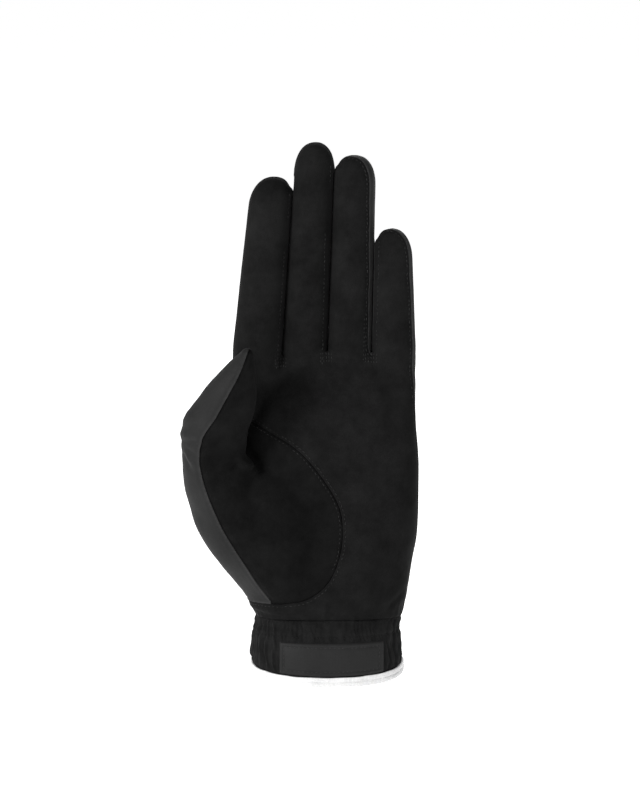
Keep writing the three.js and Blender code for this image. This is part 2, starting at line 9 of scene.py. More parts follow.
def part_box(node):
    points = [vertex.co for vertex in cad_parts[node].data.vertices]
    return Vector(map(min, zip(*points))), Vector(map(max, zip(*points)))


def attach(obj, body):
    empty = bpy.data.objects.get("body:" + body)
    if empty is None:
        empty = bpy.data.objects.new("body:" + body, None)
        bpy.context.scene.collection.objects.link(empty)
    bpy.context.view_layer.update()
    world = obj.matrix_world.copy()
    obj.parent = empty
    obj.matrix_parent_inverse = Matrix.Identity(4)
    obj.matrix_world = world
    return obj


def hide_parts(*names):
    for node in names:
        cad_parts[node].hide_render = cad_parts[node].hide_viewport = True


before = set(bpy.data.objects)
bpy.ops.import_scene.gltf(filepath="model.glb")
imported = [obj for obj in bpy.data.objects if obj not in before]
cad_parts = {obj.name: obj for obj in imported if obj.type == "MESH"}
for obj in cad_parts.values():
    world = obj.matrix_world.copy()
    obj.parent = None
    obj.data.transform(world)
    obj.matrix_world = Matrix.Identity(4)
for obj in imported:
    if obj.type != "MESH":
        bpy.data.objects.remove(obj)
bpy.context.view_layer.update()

bl_info = {
    "name": "Golf rain glove",
    "version": (1, 0, 0),
    "blender": (4, 5, 0),
    "location": "3D View > Sidebar > Glove",
    "description": "Builds the cloth, stitching, label and binding of a golf rain glove",
    "category": "Object",
}

MM = 0.001

# Sizes in millimetres, the same as those of the solids
CUFF_HEIGHT = 24.0
CUFF_WIDTH = 64.6
CUFF_DEPTH = 21.5
PALM_LENGTH = 112.5
PALM_FRONT = 21.0
PALM_BACK = 19.0
RIM_DROP = 4.3
KNUCKLE_ARCH = 4.0
FINGER_CURL = 15.0
TIP_LENGTH = 12.5
KNUCKLE_WIDTH = 78.2
MIDDLE_LENGTH = 91.8
FINGER_THICKNESS = 19.4
FINGER_GAP = 0.25
THUMB_WIDTH = 25.8
THUMB_DEPTH = 26.0
BINDING_HEIGHT = 4.0
LABEL_WIDTH = 43.8
LABEL_OFFSET = 1.9
STRIP_WIDTH = 8.5
SEAM_FORWARD = 4.2
CUFF_CLEARANCE = 0.3

# Where the strips between the fingers and the back cloth at the heel end, as shares of PALM_LENGTH
STRIP_FOOT = 0.035
HEEL_STRIP_FOOT = 0.062
# The label's upper edge, as a share of CUFF_HEIGHT
LABEL_TOP_AT = 0.6
# How much further back the strips between the fingers lie than the middle, from the index finger on
STRIP_SETBACKS = (1.8, 1.2, 0.0)

WEB_HEIGHT = CUFF_HEIGHT + PALM_LENGTH
REACH = WEB_HEIGHT + MIDDLE_LENGTH
HALF_KNUCKLES = KNUCKLE_WIDTH / 2
# The hand's middle lies a little to the thumb's side of the wrist's
HAND_SHIFT = -0.015 * KNUCKLE_WIDTH
# How square the sections are: 2 is an ellipse
PALM_SQUARENESS = 2.5
FINGER_SQUARENESS = 2.25
THUMB_SQUARENESS = 2.1
CUFF_SQUARENESS = 2.2

# Finger name, then width, length, thickness, taper, lean, drop of the web after it, and how far forward the
# seam on its far edge lies, all as shares. Tapers, leans, drops and seams are fitted closer than the solids'
FINGER_SHARES = (
    ("index", 0.272, 0.839, 1.0, 0.15, 0.075, 0.048, 0.35),
    ("middle", 0.247, 1.0, 0.98, 0.12, 0.052, -0.018, 0.58),
    ("ring", 0.242, 0.94, 0.95, 0.07, 0.026, -0.012, 1.45),
    ("little", 0.239, 0.597, 0.866, 0.16, -0.006, 0.0, 1.0),
)
# How round each fingertip is on the thumb's side and on the far side: more is rounder
TIP_ROUNDNESS = {
    "index": (0.9, 0.65),
    "middle": (0.8, 0.95),
    "ring": (0.6, 0.85),
    "little": (0.6, 0.92),
}

# Palm sections: height as a share of PALM_LENGTH, then left, right, front and back
PALM_SECTIONS = (
    (0.0, 0.745, 0.85, 0.87, 0.9),
    (0.035, 0.8, 0.87, 0.95, 0.97),
    (0.1, 0.815, 0.905, 0.98, 1.0),
    (0.2, 0.83, 0.945, 0.97, 0.97),
    (0.31, 0.85, 1.0, 0.93, 0.94),
    (0.45, 0.88, 1.03, 0.86, 0.9),
    (0.6, 0.92, 1.025, 0.78, 0.84),
    (0.74, 0.955, 1.0, 0.7, 0.76),
    (0.85, 0.98, 0.99, 0.59, 0.64),
    (0.93, 0.985, 0.985, 0.5, 0.54),
    (0.98, 0.96, 0.96, 0.42, 0.46),
    (1.01, 0.93, 0.93, 0.32, 0.35),
)

# Finger sections: height as a share of the finger's length, then width and thickness
FINGER_SECTIONS = (
    (-0.26, 0.72, 0.66),
    (-0.1, 0.95, 0.94),
    (0.0, 1.0, 1.0),
    (0.2, 1.0, 0.96),
    (0.44, 1.0, 0.95),
    (0.64, 1.0, 0.88),
    (0.8, 1.0, 0.84),
)

# Thumb sections from the heel to the tip: x, y and z as shares of KNUCKLE_WIDTH, PALM_FRONT and PALM_LENGTH,
# width and depth as shares of the thumb's own, and the facing seam's place as a share of the half width
THUMB_SECTIONS = (
    (-0.1, 0.02, -0.06, 0.8, 0.8, 0.35),
    (-0.26, -0.14, 0.09, 0.96, 0.96, 0.35),
    (-0.41, -0.34, 0.245, 1.1, 1.06, 0.35),
    (-0.54, -0.58, 0.42, 1.2, 1.08, 0.36),
    (-0.613, -0.88, 0.6, 1.1, 1.02, 0.45),
    (-0.605, -1.13, 0.715, 1.14, 0.98, 0.44),
    (-0.545, -1.45, 0.825, 0.98, 0.92, 0.33),
    (-0.49, -1.7, 0.925, 0.72, 0.8, 0.26),
    (-0.45, -1.88, 1.0, 0.42, 0.6, 0.2),
    (-0.422, -1.99, 1.062, 0.12, 0.24, 0.2),
)
# Where the thumb leaves the hand along its course, and the least height at which it is free
THUMB_WEB_AT = 0.47
THUMB_FREE_HEIGHT = 92.0
# The seam's place on the side that faces back, as a share of the half width, and the steps of the course
THUMB_REAR_SEAM = 0.45
THUMB_COURSE_STEPS = 120
# How far past the thumb's sides its seam still holds, and how far from the thumb's course, in half sizes, a
# point still counts as on the thumb
THUMB_MARGIN = 1.6
THUMB_REACH = 1.18
# The level given to places where a seam doesn't hold
FAR_LEVEL = 9.0
# A point is moved onto a cut when the cut crosses one of its edges within this share of the edge
CLOSE_TO_CUT = 0.3
# The thumb's palm side is flatter from its free edge to the seam: by how much, and over which angle
THUMB_FLATNESS = 0.35
THUMB_FACE = 1.92

# The ball of the thumb in level sections: x, y, z, width and depth, shares as for the thumb but for the width
# and depth, which are shares of KNUCKLE_WIDTH and PALM_FRONT
BALL_SECTIONS = (
    (-0.2, -0.3, 0.05, 0.15, 0.5),
    (-0.24, -0.42, 0.13, 0.22, 0.6),
    (-0.27, -0.5, 0.25, 0.3, 0.64),
    (-0.31, -0.55, 0.37, 0.31, 0.61),
    (-0.36, -0.58, 0.47, 0.26, 0.5),
    (-0.41, -0.58, 0.55, 0.17, 0.34),
    (-0.43, -0.58, 0.6, 0.06, 0.12),
)

# The seam of the thumb panel on the palm: x as a share of KNUCKLE_WIDTH and z of PALM_LENGTH
INSET_SEAM = (
    (-0.53, 0.78),
    (-0.385, 0.745),
    (-0.3, 0.712),
    (-0.155, 0.647),
    (-0.01, 0.528),
    (0.075, 0.414),
    (0.075, 0.26),
    (0.0, 0.14),
    (-0.11, 0.082),
    (-0.25, HEEL_STRIP_FOOT),
)
# The outline is closed past the thumb's side of the glove, from this height and at this x
INSET_TOP = 0.79
INSET_OUTER = -1.1
# Where the inner row of stitches along the seam ends, as a share of PALM_LENGTH
INSET_ROW_FOOT = 0.2

# Creases pressed into the cloth, and ridges where the depth is below zero, in millimetres: start x, y, z,
# end x, y, z, breadth and depth
CREASES = (
    (-2.0, -13.0, 135.5, -13.0, -14.5, 137.0, 3.4, 0.7),
    (-11.0, -14.5, 137.5, -27.5, -17.0, 118.5, 4.2, 1.7),
    (-26.5, -17.0, 119.5, -34.8, -18.0, 103.5, 3.0, 2.7),
    (-34.8, -18.0, 104.5, -34.8, -20.0, 97.0, 1.6, 1.2),
    (-33.5, -20.0, 97.0, -27.0, -20.0, 88.0, 1.2, 1.3),
    (-36.0, -22.0, 94.0, -29.5, -22.0, 85.5, 1.6, -3.0),
    (-36.5, -27.0, 93.0, -40.7, -29.0, 88.9, 1.7, 1.2),
    (-40.7, -29.0, 88.9, -47.5, -31.0, 86.4, 2.2, 0.9),
    (-35.0, -36.0, 113.0, -36.0, -33.0, 99.0, 3.4, 1.9),
    (-19.2, -13.0, 138.0, -19.2, -15.0, 131.0, 1.2, 1.1),
    (0.2, -12.0, 139.0, 0.2, -14.0, 134.0, 1.1, 0.7),
    (19.2, -12.0, 139.0, 19.0, -14.0, 135.0, 1.1, 0.7),
    (19.5, -14.0, 135.0, 22.9, -15.0, 127.0, 1.8, 0.7),
    (22.9, -15.0, 127.0, 28.0, -16.0, 118.0, 2.4, 0.6),
    (7.0, -18.0, 98.0, 10.0, -20.0, 66.0, 9.0, 0.8),
    (-63.0, -16.0, 102.4, -53.0, -33.0, 102.6, 1.2, 1.7),
    (-63.0, -16.0, 104.9, -53.0, -33.0, 105.4, 1.2, -0.7),
    (-63.0, -16.0, 101.4, -54.5, -32.0, 96.6, 1.25, 1.0),
    (-62.0, -18.0, 99.6, -58.0, -30.0, 90.0, 1.3, 0.9),
    (-62.0, -18.0, 100.5, -57.0, -31.0, 93.0, 1.2, -0.8),
    (-62.0, -16.0, 107.6, -53.0, -34.0, 111.5, 1.4, 0.8),
    (-58.0, -18.0, 75.0, -51.0, -28.0, 62.0, 3.0, 0.6),
    (-62.0, -20.0, 101.0, -60.5, -20.0, 88.0, 4.0, 0.6),
    (-60.5, -22.0, 108.0, -56.0, -25.0, 115.5, 3.0, -0.8),
    (-51.0, -33.0, 131.0, -44.0, -36.0, 139.0, 3.0, 0.8),
    (-41.0, -14.0, 48.0, -32.5, -14.0, 26.5, 5.0, 1.2),
    (-45.0, 4.0, 40.0, -30.0, 14.0, 36.0, 3.0, 0.8),
    (-34.0, -8.0, 27.2, -19.0, -21.0, 25.4, 1.2, 1.1),
    (34.0, -6.0, 36.0, 25.0, -17.0, 27.0, 1.6, 0.7),
    (-20.0, 18.0, 134.0, 24.0, 16.0, 131.0, 6.0, 0.7),
)

# Cuff sections from the rim to the top: share of CUFF_HEIGHT, left, right, depth
CUFF_SECTIONS = (
    (0.0, 0.985, 0.985, 0.995),
    (0.2, 0.985, 0.985, 0.99),
    (0.4, 0.975, 0.975, 0.97),
    (0.62, 0.95, 0.965, 0.935),
    (0.85, 0.92, 0.95, 0.89),
)
# Heights of the two rows of elastic in the cuff, and how deeply and broadly they draw it in
ELASTIC_ROWS = (23.2, 17.2)
ELASTIC_DEPTH = 0.38
ELASTIC_BREADTH = 0.6
# The cuff's wall, the depth of its gathers and how far its cloth lies outside the middle surface
CUFF_WALL = 1.1
GATHER_DEPTH = 1.25
CUFF_PROUD = 0.45
# Points of the cuff's surface from the rim to the top and round it, of the label's down and across it, and
# of the tape's round the rim
CUFF_ROWS = 58
CUFF_SIDES = 780
LABEL_ROWS = 44
LABEL_COLUMNS = 150
BINDING_SIDES = 520
# How far the label's inner side and its outer edge lie from the cuff's middle surface, and its stitches
# from its edge
LABEL_BASE = 0.3
LABEL_PROUD = 0.55
LABEL_STITCH_INSET = 1.9

# How far in front of and behind its line a crease still shows
CREASE_REACH = 10.0
# Where the joint folds cross each finger, as shares of its length, and how deep, broad and aslant they are
FINGER_JOINTS = (0.3, 0.62)
JOINT_DEPTH = 0.35
JOINT_BREADTH = 1.7
JOINT_SLANT = 0.12
# How far above the cuff the gathers and slack of the wrist reach
WRIST_SLACK = 15.0

# The skin is joined from the forms at this grain, with the fingers this far apart, and closed up afterwards
VOXEL = 0.85
SPREAD = 3.2
SPREAD_RISE = 14.0
RELAX_ROUNDS = 9
# Gap between closed fingers, how far up the tips they touch, how deep they are pressed flat and how slanted
TOUCH_GAP = 0.16
TIP_CLOSING = 7.0
PRESSED_DEPTH = 5.5
TOUCH_SLANT = 0.35

# Seams: how far the rim of a panel is drawn back, how far the stitches lie from the seam, and how far the
# painted highlight on the cloth beside a seam reaches
RIM_DRAW = 0.05
STITCH_INSET = 1.15
EDGE_HIGHLIGHT_REACH = 0.7
# Relief beside a seam: how broadly the cloth sinks, where and how broadly it rolls up again, and how deeply
# and broadly the stitches press it in
SEAM_BREADTH = 0.75
ROLL_AT = 2.3
ROLL_BREADTH = 1.1
GROOVE_DEPTH = 0.05
GROOVE_BREADTH = 0.45

# For each panel's node: the name of its cloth, its slot, its finish, and how far it sinks at a seam and
# rises beside it
PANELS = {
    "palm_panel": ("palm_cloth", "palm_suede", "palm_suede", -0.12, 0.05),
    # The thumb panel takes a darker copy of the palm's suede: painted shade on the thumb
    "thumb_panel": ("thumb_cloth", "palm_suede", "shaded_thumb_suede", 0.22, 0.12),
    "back_panel": ("back_cloth", "back_softshell", "back_softshell", -0.25, 0.1),
    "forchette_index_middle": ("side_strip_index_middle", "back_softshell", "back_softshell", 0.26, 0.1),
    "forchette_middle_ring": ("side_strip_middle_ring", "back_softshell", "back_softshell", 0.26, 0.1),
    "forchette_ring_little": ("side_strip_ring_little", "back_softshell", "back_softshell", 0.26, 0.1),
}

# Rows of stitches beside the gaps between fingers: gap, side, from and to as shares of the shorter finger's
# length, and distance from the gap at either end
FINGER_ROWS = (
    (0, -1, -0.06, 0.6, 2.0, 2.0),
    (0, -1, 0.78, 0.92, 1.5, 1.4),
    (1, -1, -0.03, 0.62, 2.3, 3.6),
    (1, -1, 0.88, 0.96, 1.7, 1.9),
    (2, -1, -0.02, 0.3, 3.8, 3.6),
    (2, 1, 0.1, 0.9, 1.6, 1.9),
)

# The block of stitches below a gap: steps across and down, the steps' lengths and how far up and how far
# towards the thumb's side its start lies
TACK_PLACES = [(across, down) for down in range(3) for across in range(-2, 3)]
TACK_ACROSS = 1.15
TACK_DOWN = 1.5
TACK_UP = 0.4
TACK_SHIFT = 0.6

# The tape's folded section from the outer top edge round the rim to the inner one: out, up
TAPE_SECTION = (
    (0.12, 4.0),
    (0.5, 4.05),
    (0.85, 3.9),
    (0.98, 3.4),
    (1.0, 2.6),
    (0.88, 2.15),
    (0.72, 2.0),
    (0.9, 1.8),
    (1.08, 1.3),
    (1.1, 0.7),
    (0.98, 0.15),
    (0.6, -0.12),
    (-0.3, -0.18),
    (-1.3, -0.1),
    (-2.0, 0.15),
    (-2.35, 0.6),
    (-2.4, 2.0),
    (-2.35, 3.6),
    (-2.1, 3.95),
    (-1.75, 3.9),
    (-1.62, 3.5),
    (-1.62, 1.6),
    (-1.4, 0.95),
    (-0.9, 0.62),
    (-0.35, 0.62),
    (0.0, 0.95),
    (0.12, 1.6),
)

# For each node that carries stitches: the stitching's name, its slot and its thread
STITCHED_NODES = {
    "palm_panel": ("palm_stitching", "palm_suede", "thread"),
    "thumb_panel": ("thumb_stitching", "palm_suede", "thread"),
    "cuff": ("cuff_elastic_stitching", "cuff_stretch", "thread_black"),
    "cuff_label": ("label_stitching", "label_patch", "thread_grey"),
}
STITCH_SEED = 7
# How far the stitches lie off the cloth, and how much their places, directions and sizes vary
STITCH_LIFT = 0.02
STITCH_STRAY = 0.07
STITCH_TURN = 0.16
STITCH_SIZES = (0.62, 1.1)
# The length of a stitch as a share of the pitch, and its sections: place along it and thickness
STITCH_SHARE = 0.66
STITCH_SECTION = ((-0.5, 0.35), (-0.36, 0.85), (-0.12, 1.0), (0.12, 1.0), (0.36, 0.85), (0.5, 0.35))

# Finishes: pattern, base grey, the pattern's own value, sheen, depth of the bump in millimetres, specular
# level and how strong the painted highlight along the seams is. The thumb's suede is the palm's made darker,
# as painted shade on the thumb panel
FINISHES = {
    "palm_suede": ("nap", 0.0049, 0.36, 0.012, 0.10, 0.1, 0.0),
    # The palm's suede made darker, as painted shade on the thumb panel
    "shaded_thumb_suede": ("nap", 0.0035, 0.36, 0.009, 0.10, 0.08, 0.0),
    "back_softshell": ("knit", 0.0122, 620.0, 0.012, 0.07, 0.16, 1.1),
    "cuff_stretch": ("nap", 0.0052, 0.4, 0.014, 0.12, 0.14, 0.0),
    "label_patch": ("knit", 0.0095, 500.0, 0.0, 0.03, 0.25, 0.0),
    "white_tape": ("knit", 0.74, 560.0, 0.05, 0.04, 0.3, 0.0),
    "thread": ("knit", 0.0095, 2200.0, 0.01, 0.02, 0.3, 0.0),
    "thread_black": ("knit", 0.0068, 2200.0, 0.0, 0.02, 0.14, 0.0),
    "thread_grey": ("knit", 0.02, 2200.0, 0.02, 0.02, 0.3, 0.0),
}

# Stage: camera in millimetres and lights in metres and watts
CAMERA_ELEVATION = math.radians(8.0)
PICTURE_HEIGHT = 345.3
PICTURE_CENTRE = (-2.97, 112.6, -25.5)
LENS = 300.0
SENSOR = 36.0
FLOOR_HALF = 4.0
FLOOR_GREY = 0.9
FLOOR_GLOW = 0.72
LIGHT_TARGET = (0.0, -0.01, 0.11)
LIGHTS = (
    ("key_light", (-1.0, -0.95, 0.6), (0.35, 0.35), 20.0),
    ("fill_light", (0.95, -0.85, 0.5), (0.7, 0.9), 2.5),
    ("back_light", (0.3, 0.9, 0.9), (0.9, 0.5), 8.0),
)

# Places for stitches that each built piece leaves for build_stitching, by node
seam_rows = {}
# The front of the cuff's rings that the label has needed so far, by height
cuff_fronts = {}


# Curves and numbers


def ease(value):
    """A smooth step from 0 to 1."""
    t = np.clip(value, 0.0, 1.0)
    return t * t * (3.0 - 2.0 * t)


def bell(value, breadth):
    """1 at 0, falling off on both sides."""
    return np.exp(-((value / breadth) ** 2))


def around(sides):
    """Angles all the way round, one for each side."""
    return 2 * np.pi * np.arange(sides) / sides


def signed_power(value, squareness):
    """A sine or cosine bent so that a section becomes more or less square."""
    return np.sign(value) * np.abs(value) ** (2.0 / squareness)


def through(rows, at):
    """Values of a table's columns at any key, on a smooth curve through its rows."""
    table = np.asarray(rows, float)
    keys, values = table[:, 0], table[:, 1:]
    slopes = np.gradient(values, keys, axis=0)
    at = np.clip(np.atleast_1d(at), keys[0], keys[-1])
    low = np.clip(np.searchsorted(keys, at, side="right") - 1, 0, len(keys) - 2)
    span = (keys[low + 1] - keys[low])[:, None]
    t = (at[:, None] - keys[low][:, None]) / span
    h00 = 2 * t**3 - 3 * t**2 + 1
    h10 = t**3 - 2 * t**2 + t
    h01 = -2 * t**3 + 3 * t**2
    h11 = t**3 - t**2
    start, end = values[low], values[low + 1]
    return h00 * start + h10 * span * slopes[low] + h01 * end + h11 * span * slopes[low + 1]


def along_points(points):
    """Table keys for points by the distance between them, from 0 to 1."""
    steps = np.linalg.norm(np.diff(points, axis=0), axis=1) ** 0.5
    keys = np.concatenate([[0.0], np.cumsum(steps)])
    return keys / keys[-1]


def summed(index, values, count):
    """The rows of values added up by index."""
    return np.stack([np.bincount(index, values[:, axis], count) for axis in range(3)], axis=1)


def tree_of(places):
    """A search tree of places, each under its number in the list."""
    tree = kdtree.KDTree(len(places))
    for index, place in enumerate(places.tolist()):
        tree.insert(place, index)
    tree.balance()
    return tree


def run_along(chain):
    """The distance from the start of a chain to each of its points."""
    return np.concatenate([[0.0], np.cumsum(np.linalg.norm(np.diff(chain, axis=0), axis=1))])


def evenly_spaced(chain, step):
    """Points along a chain, a step apart."""
    run = run_along(chain)
    stops = np.arange(step / 2, run[-1], step)
    return np.stack([np.interp(stops, run, chain[:, axis]) for axis in range(3)], axis=1)


# Forms of the hand


class Finger:
    """One finger of FINGER_SHARES in millimetres; root is its middle at the web's height."""

    def __init__(self, name, width, length, thickness, taper, lean, web_drop, show):
        self.name = name
        self.width = width * (KNUCKLE_WIDTH - 3 * FINGER_GAP)
        self.length = length * MIDDLE_LENGTH
        self.thickness = thickness * FINGER_THICKNESS
        self.taper = taper
        self.lean = lean * MIDDLE_LENGTH
        self.web_drop = web_drop * MIDDLE_LENGTH
        self.show = show
        self.root = 0.0

    def width_at(self, z):
        return self.width * (1.0 - self.taper * (z - WEB_HEIGHT) / self.length)

    def centre_at(self, z):
        return self.root + self.lean * (z - WEB_HEIGHT) / self.length


def placed_fingers():
    """The fingers side by side, from the thumb's side on."""
    fingers = [Finger(*row) for row in FINGER_SHARES]
    edge = HAND_SHIFT - HALF_KNUCKLES
    for finger in fingers:
        finger.root = edge + finger.width / 2
        edge += finger.width + FINGER_GAP
    return fingers


FINGERS = placed_fingers()


def centre_depth(x, z):
    """The surface midway between palm and back."""
    along = np.maximum(0.0, z - CUFF_HEIGHT) / (REACH - CUFF_HEIGHT)
    across = (x - HAND_SHIFT) / HALF_KNUCKLES
    rise = ease((z - CUFF_HEIGHT) / PALM_LENGTH)
    return -FINGER_CURL * along**2.4 - KNUCKLE_ARCH * rise * np.minimum(1.4, across**2)


def finger_edges(z):
    """The left and right edge of each finger at a height."""
    edges = []
    for finger in FINGERS:
        half = finger.width_at(z) / 2
        centre = finger.centre_at(z)
        edges += [centre - half, centre + half]
    return np.array(edges)


def across_edges(x, edges, values):
    """Values given at the finger edges, run in straight lines between them."""
    result = np.where(x < edges[0], values[0], values[-1])
    for low in range(len(edges) - 1):
        inside = (x >= edges[low]) & (x < edges[low + 1])
        share = (x - edges[low]) / np.where(inside, edges[low + 1] - edges[low], 1.0)
        result = np.where(inside, values[low] + (values[low + 1] - values[low]) * share, result)
    return result


def finger_spread(x, z, already_spread):
    """How far the fingers are moved apart while the skin is joined up, so that they don't fuse."""
    rise = ease((z - WEB_HEIGHT + SPREAD_RISE) / SPREAD_RISE)
    steps = np.repeat([-1.5, -0.5, 0.5, 1.5], 2)[:, None] * SPREAD * rise[None, :]
    edges = finger_edges(z)
    if already_spread:
        edges = edges + steps
    return across_edges(x, edges, steps)


def seam_surface(x, z):
    """Where the side seams run: forward of the middle on the edges that face the little finger's side."""
    show = SEAM_FORWARD * ease((z - CUFF_HEIGHT) / PALM_LENGTH)
    none = np.zeros_like(show)
    rows = [row for finger in FINGERS for row in (none, show * finger.show)]
    forward = across_edges(x, finger_edges(z), np.array(rows))
    return centre_depth(x, z) - forward


def web_drop_at(x):
    """How far the webs between the fingers lie below the knuckles' height."""
    drop = np.zeros_like(x)
    for first, second in zip(FINGERS, FINGERS[1:]):
        middle = (first.root + second.root) / 2
        drop += first.web_drop * bell(x - middle, first.width / 3)
    return drop


def closed_loft(rings):
    """Points and faces of a closed form through rings of the same number of points."""
    rows, sides, _ = rings.shape
    points = rings.reshape(-1, 3)
    ends = np.array([rings[0].mean(axis=0), rings[-1].mean(axis=0)])
    points = np.concatenate([points, ends])
    side = np.arange(sides)
    following = (side + 1) % sides
    faces = []
    for row in range(rows - 1):
        low, high = row * sides, (row + 1) * sides
        faces += list(zip(low + side, low + following, high + following, high + side))
    first, last = rows * sides, rows * sides + 1
    top = (rows - 1) * sides
    faces += list(zip(following, side, np.full(sides, first)))
    faces += list(zip(top + side, top + following, np.full(sides, last)))
    return points, faces


def palm_form():
    """The palm and back, from inside the cuff to just above the webs."""
    sides = 84
    angle = around(sides)
    cosine, sine = np.cos(angle), np.sin(angle)
    rings = []
    for at in np.linspace(-0.06, 1.01, 90):
        left, right, front, back = through(PALM_SECTIONS, at)[0]
        z = CUFF_HEIGHT + at * PALM_LENGTH
        wide = np.where(cosine > 0, right, left) * HALF_KNUCKLES
        deep = np.where(sine > 0, back * PALM_BACK, front * PALM_FRONT)
        x = HAND_SHIFT + signed_power(cosine, PALM_SQUARENESS) * wide
        heights = z - web_drop_at(x) * ease((at - 0.8) / 0.2)
        y = centre_depth(x, np.full(sides, z)) + signed_power(sine, PALM_SQUARENESS) * deep
        x = x + finger_spread(x, np.full(sides, z), False)
        rings.append(np.stack([x, y, heights], axis=1))
    return closed_loft(np.array(rings))


def finger_form(finger):
    """A finger from inside the palm to its rounded tip."""
    sides = 48
    angle = around(sides)
    shoulder = 1.0 - TIP_LENGTH / finger.length
    stations = [(at, 1.0) for at in np.linspace(FINGER_SECTIONS[0][0], shoulder, 64)]
    for turn in np.linspace(0.03, 0.49, 14) * np.pi:
        stations.append((shoulder + (1 - shoulder) * math.sin(turn), math.cos(turn)))
    rings = []
    near_side, far_side = TIP_ROUNDNESS[finger.name]
    roundness = near_side + (far_side - near_side) * ease((1 + np.cos(angle)) / 2)
    for at, round_off in stations:
        shrink = round_off**roundness
        wide, deep = through(FINGER_SECTIONS, min(at, shoulder))[0]
        z = np.full(sides, WEB_HEIGHT + at * finger.length)
        half_wide = shrink * wide * finger.width_at(z) / 2
        half_deep = round_off**0.8 * deep * finger.thickness / 2
        x = finger.centre_at(z) + signed_power(np.cos(angle), FINGER_SQUARENESS) * half_wide
        y = centre_depth(finger.centre_at(z), z)
        y = y + signed_power(np.sin(angle), FINGER_SQUARENESS) * half_deep
        x = x + finger_spread(finger.centre_at(z), z, False)
        rings.append(np.stack([x, y, z], axis=1))
    return closed_loft(np.array(rings))


class ThumbCourse:
    """The thumb's course with its across and facing directions, half sizes and seam at each station."""

    def __init__(self, count):
        table = np.asarray(THUMB_SECTIONS)
        scale = np.array([KNUCKLE_WIDTH, PALM_FRONT, PALM_LENGTH])
        places = table[:, :3] * scale + np.array([0, 0, CUFF_HEIGHT])
        keys = along_points(places)[:, None]
        self.at = np.linspace(0, 1, count)
        self.centre = through(np.hstack([keys, places]), self.at)
        sizes = through(np.hstack([keys, table[:, 3:]]), self.at)
        tangent = np.gradient(self.centre, axis=0)
        tangent /= np.linalg.norm(tangent, axis=1)[:, None]
        facing = np.array([0.0, -1.0, 0.0]) - tangent * (-tangent[:, 1])[:, None]
        self.facing = facing / np.linalg.norm(facing, axis=1)[:, None]
        self.across = np.cross(tangent, self.facing)
        self.half_wide = np.maximum(sizes[:, 0], 0.08) * THUMB_WIDTH / 2
        self.half_deep = np.maximum(sizes[:, 1], 0.12) * THUMB_DEPTH / 2
        self.seam = sizes[:, 2]

    def nearest(self, points):
        """For each point its station, and its place across and along the facing direction there."""
        station = np.zeros(len(points), int)
        best = np.full(len(points), np.inf)
        for index, centre in enumerate(self.centre):
            gap = ((points - centre) ** 2).sum(axis=1)
            closer = gap < best
            station[closer] = index
            best[closer] = gap[closer]
        offset = points - self.centre[station]
        u = (offset * self.across[station]).sum(axis=1)
        v = (offset * self.facing[station]).sum(axis=1)
        return station, u, v


def thumb_form():
    """The thumb from inside the heel to its tip, with a flatter palm side."""
    course = ThumbCourse(90)
    sides = 56
    angle = around(sides)
    u = signed_power(np.cos(angle), THUMB_SQUARENESS)[None, :, None]
    v = signed_power(np.sin(angle), THUMB_SQUARENESS)[None, :, None]
    flattened = THUMB_FLATNESS * ease((course.at - 0.4) / 0.2)[:, None, None]
    v = v * (1.0 - flattened * np.sin(np.pi * np.clip(angle / THUMB_FACE, 0, 1))[None, :, None])
    across = course.across[:, None, :] * course.half_wide[:, None, None]
    facing = course.facing[:, None, :] * course.half_deep[:, None, None]
    return closed_loft(course.centre[:, None, :] + across * u + facing * v)


def ball_form():
    """The ball of the thumb, which fills the palm beside it."""
    sides = 56
    angle = around(sides)
    keys = [row[2] for row in BALL_SECTIONS]
    table = [(row[2], row[0], row[1], row[3], row[4]) for row in BALL_SECTIONS]
    rings = []
    for at in np.linspace(keys[0], keys[-1], 44):
        x, y, wide, deep = through(table, at)[0]
        px = x * KNUCKLE_WIDTH + np.cos(angle) * wide * KNUCKLE_WIDTH
        py = y * PALM_FRONT + np.sin(angle) * deep * PALM_FRONT
        rings.append(np.stack([px, py, np.full(sides, CUFF_HEIGHT + at * PALM_LENGTH)], axis=1))
    return closed_loft(np.array(rings))


def joined_forms(forms):
    """All forms in one list of points and one of faces."""
    points, faces, start = [], [], 0
    for form_points, form_faces in forms:
        points.append(form_points)
        faces += [tuple(int(i) + start for i in face) for face in form_faces]
        start += len(form_points)
    return np.concatenate(points), faces


# Skin


def mesh_object(name, points, faces, smooth=True):
    """A new object from points in millimetres."""
    mesh = bpy.data.meshes.new(name)
    mesh.from_pydata((points * MM).tolist(), [], faces)
    mesh.update()
    if smooth:
        mesh.shade_smooth()
    made = bpy.data.objects.new(name, mesh)
    bpy.context.scene.collection.objects.link(made)
    return made


def remeshed(points, faces, voxel):
    """One closed skin round all the forms, as points and quads."""
    rough = mesh_object("rough_skin", points, faces, smooth=False)
    modifier = rough.modifiers.new("join", "REMESH")
    modifier.mode = "VOXEL"
    modifier.voxel_size = voxel * MM
    mesh = bpy.data.meshes.new_from_object(rough.evaluated_get(bpy.context.evaluated_depsgraph_get()))
    places = np.empty(len(mesh.vertices) * 3)
    mesh.vertices.foreach_get("co", places)
    corners = np.empty(len(mesh.loops), int)
    mesh.loops.foreach_get("vertex_index", corners)
    if len(corners) != 4 * len(mesh.polygons):
        raise RuntimeError("The joined skin isn't made of quads")
    bpy.data.objects.remove(rough)
    return places.reshape(-1, 3) / MM, corners.reshape(-1, 4)


def triangles_of(quads):
    """Two triangles for each quad, all the first ones before all the second ones."""
    quads = np.array(quads)
    return np.concatenate([quads[:, [0, 1, 2]], quads[:, [0, 2, 3]]])


def neighbour_links(faces):
    """Each edge of the faces once, as a pair of points."""
    sides = np.concatenate([faces[:, [i, (i + 1) % faces.shape[1]]] for i in range(faces.shape[1])])
    return np.unique(np.sort(sides, axis=1), axis=0)


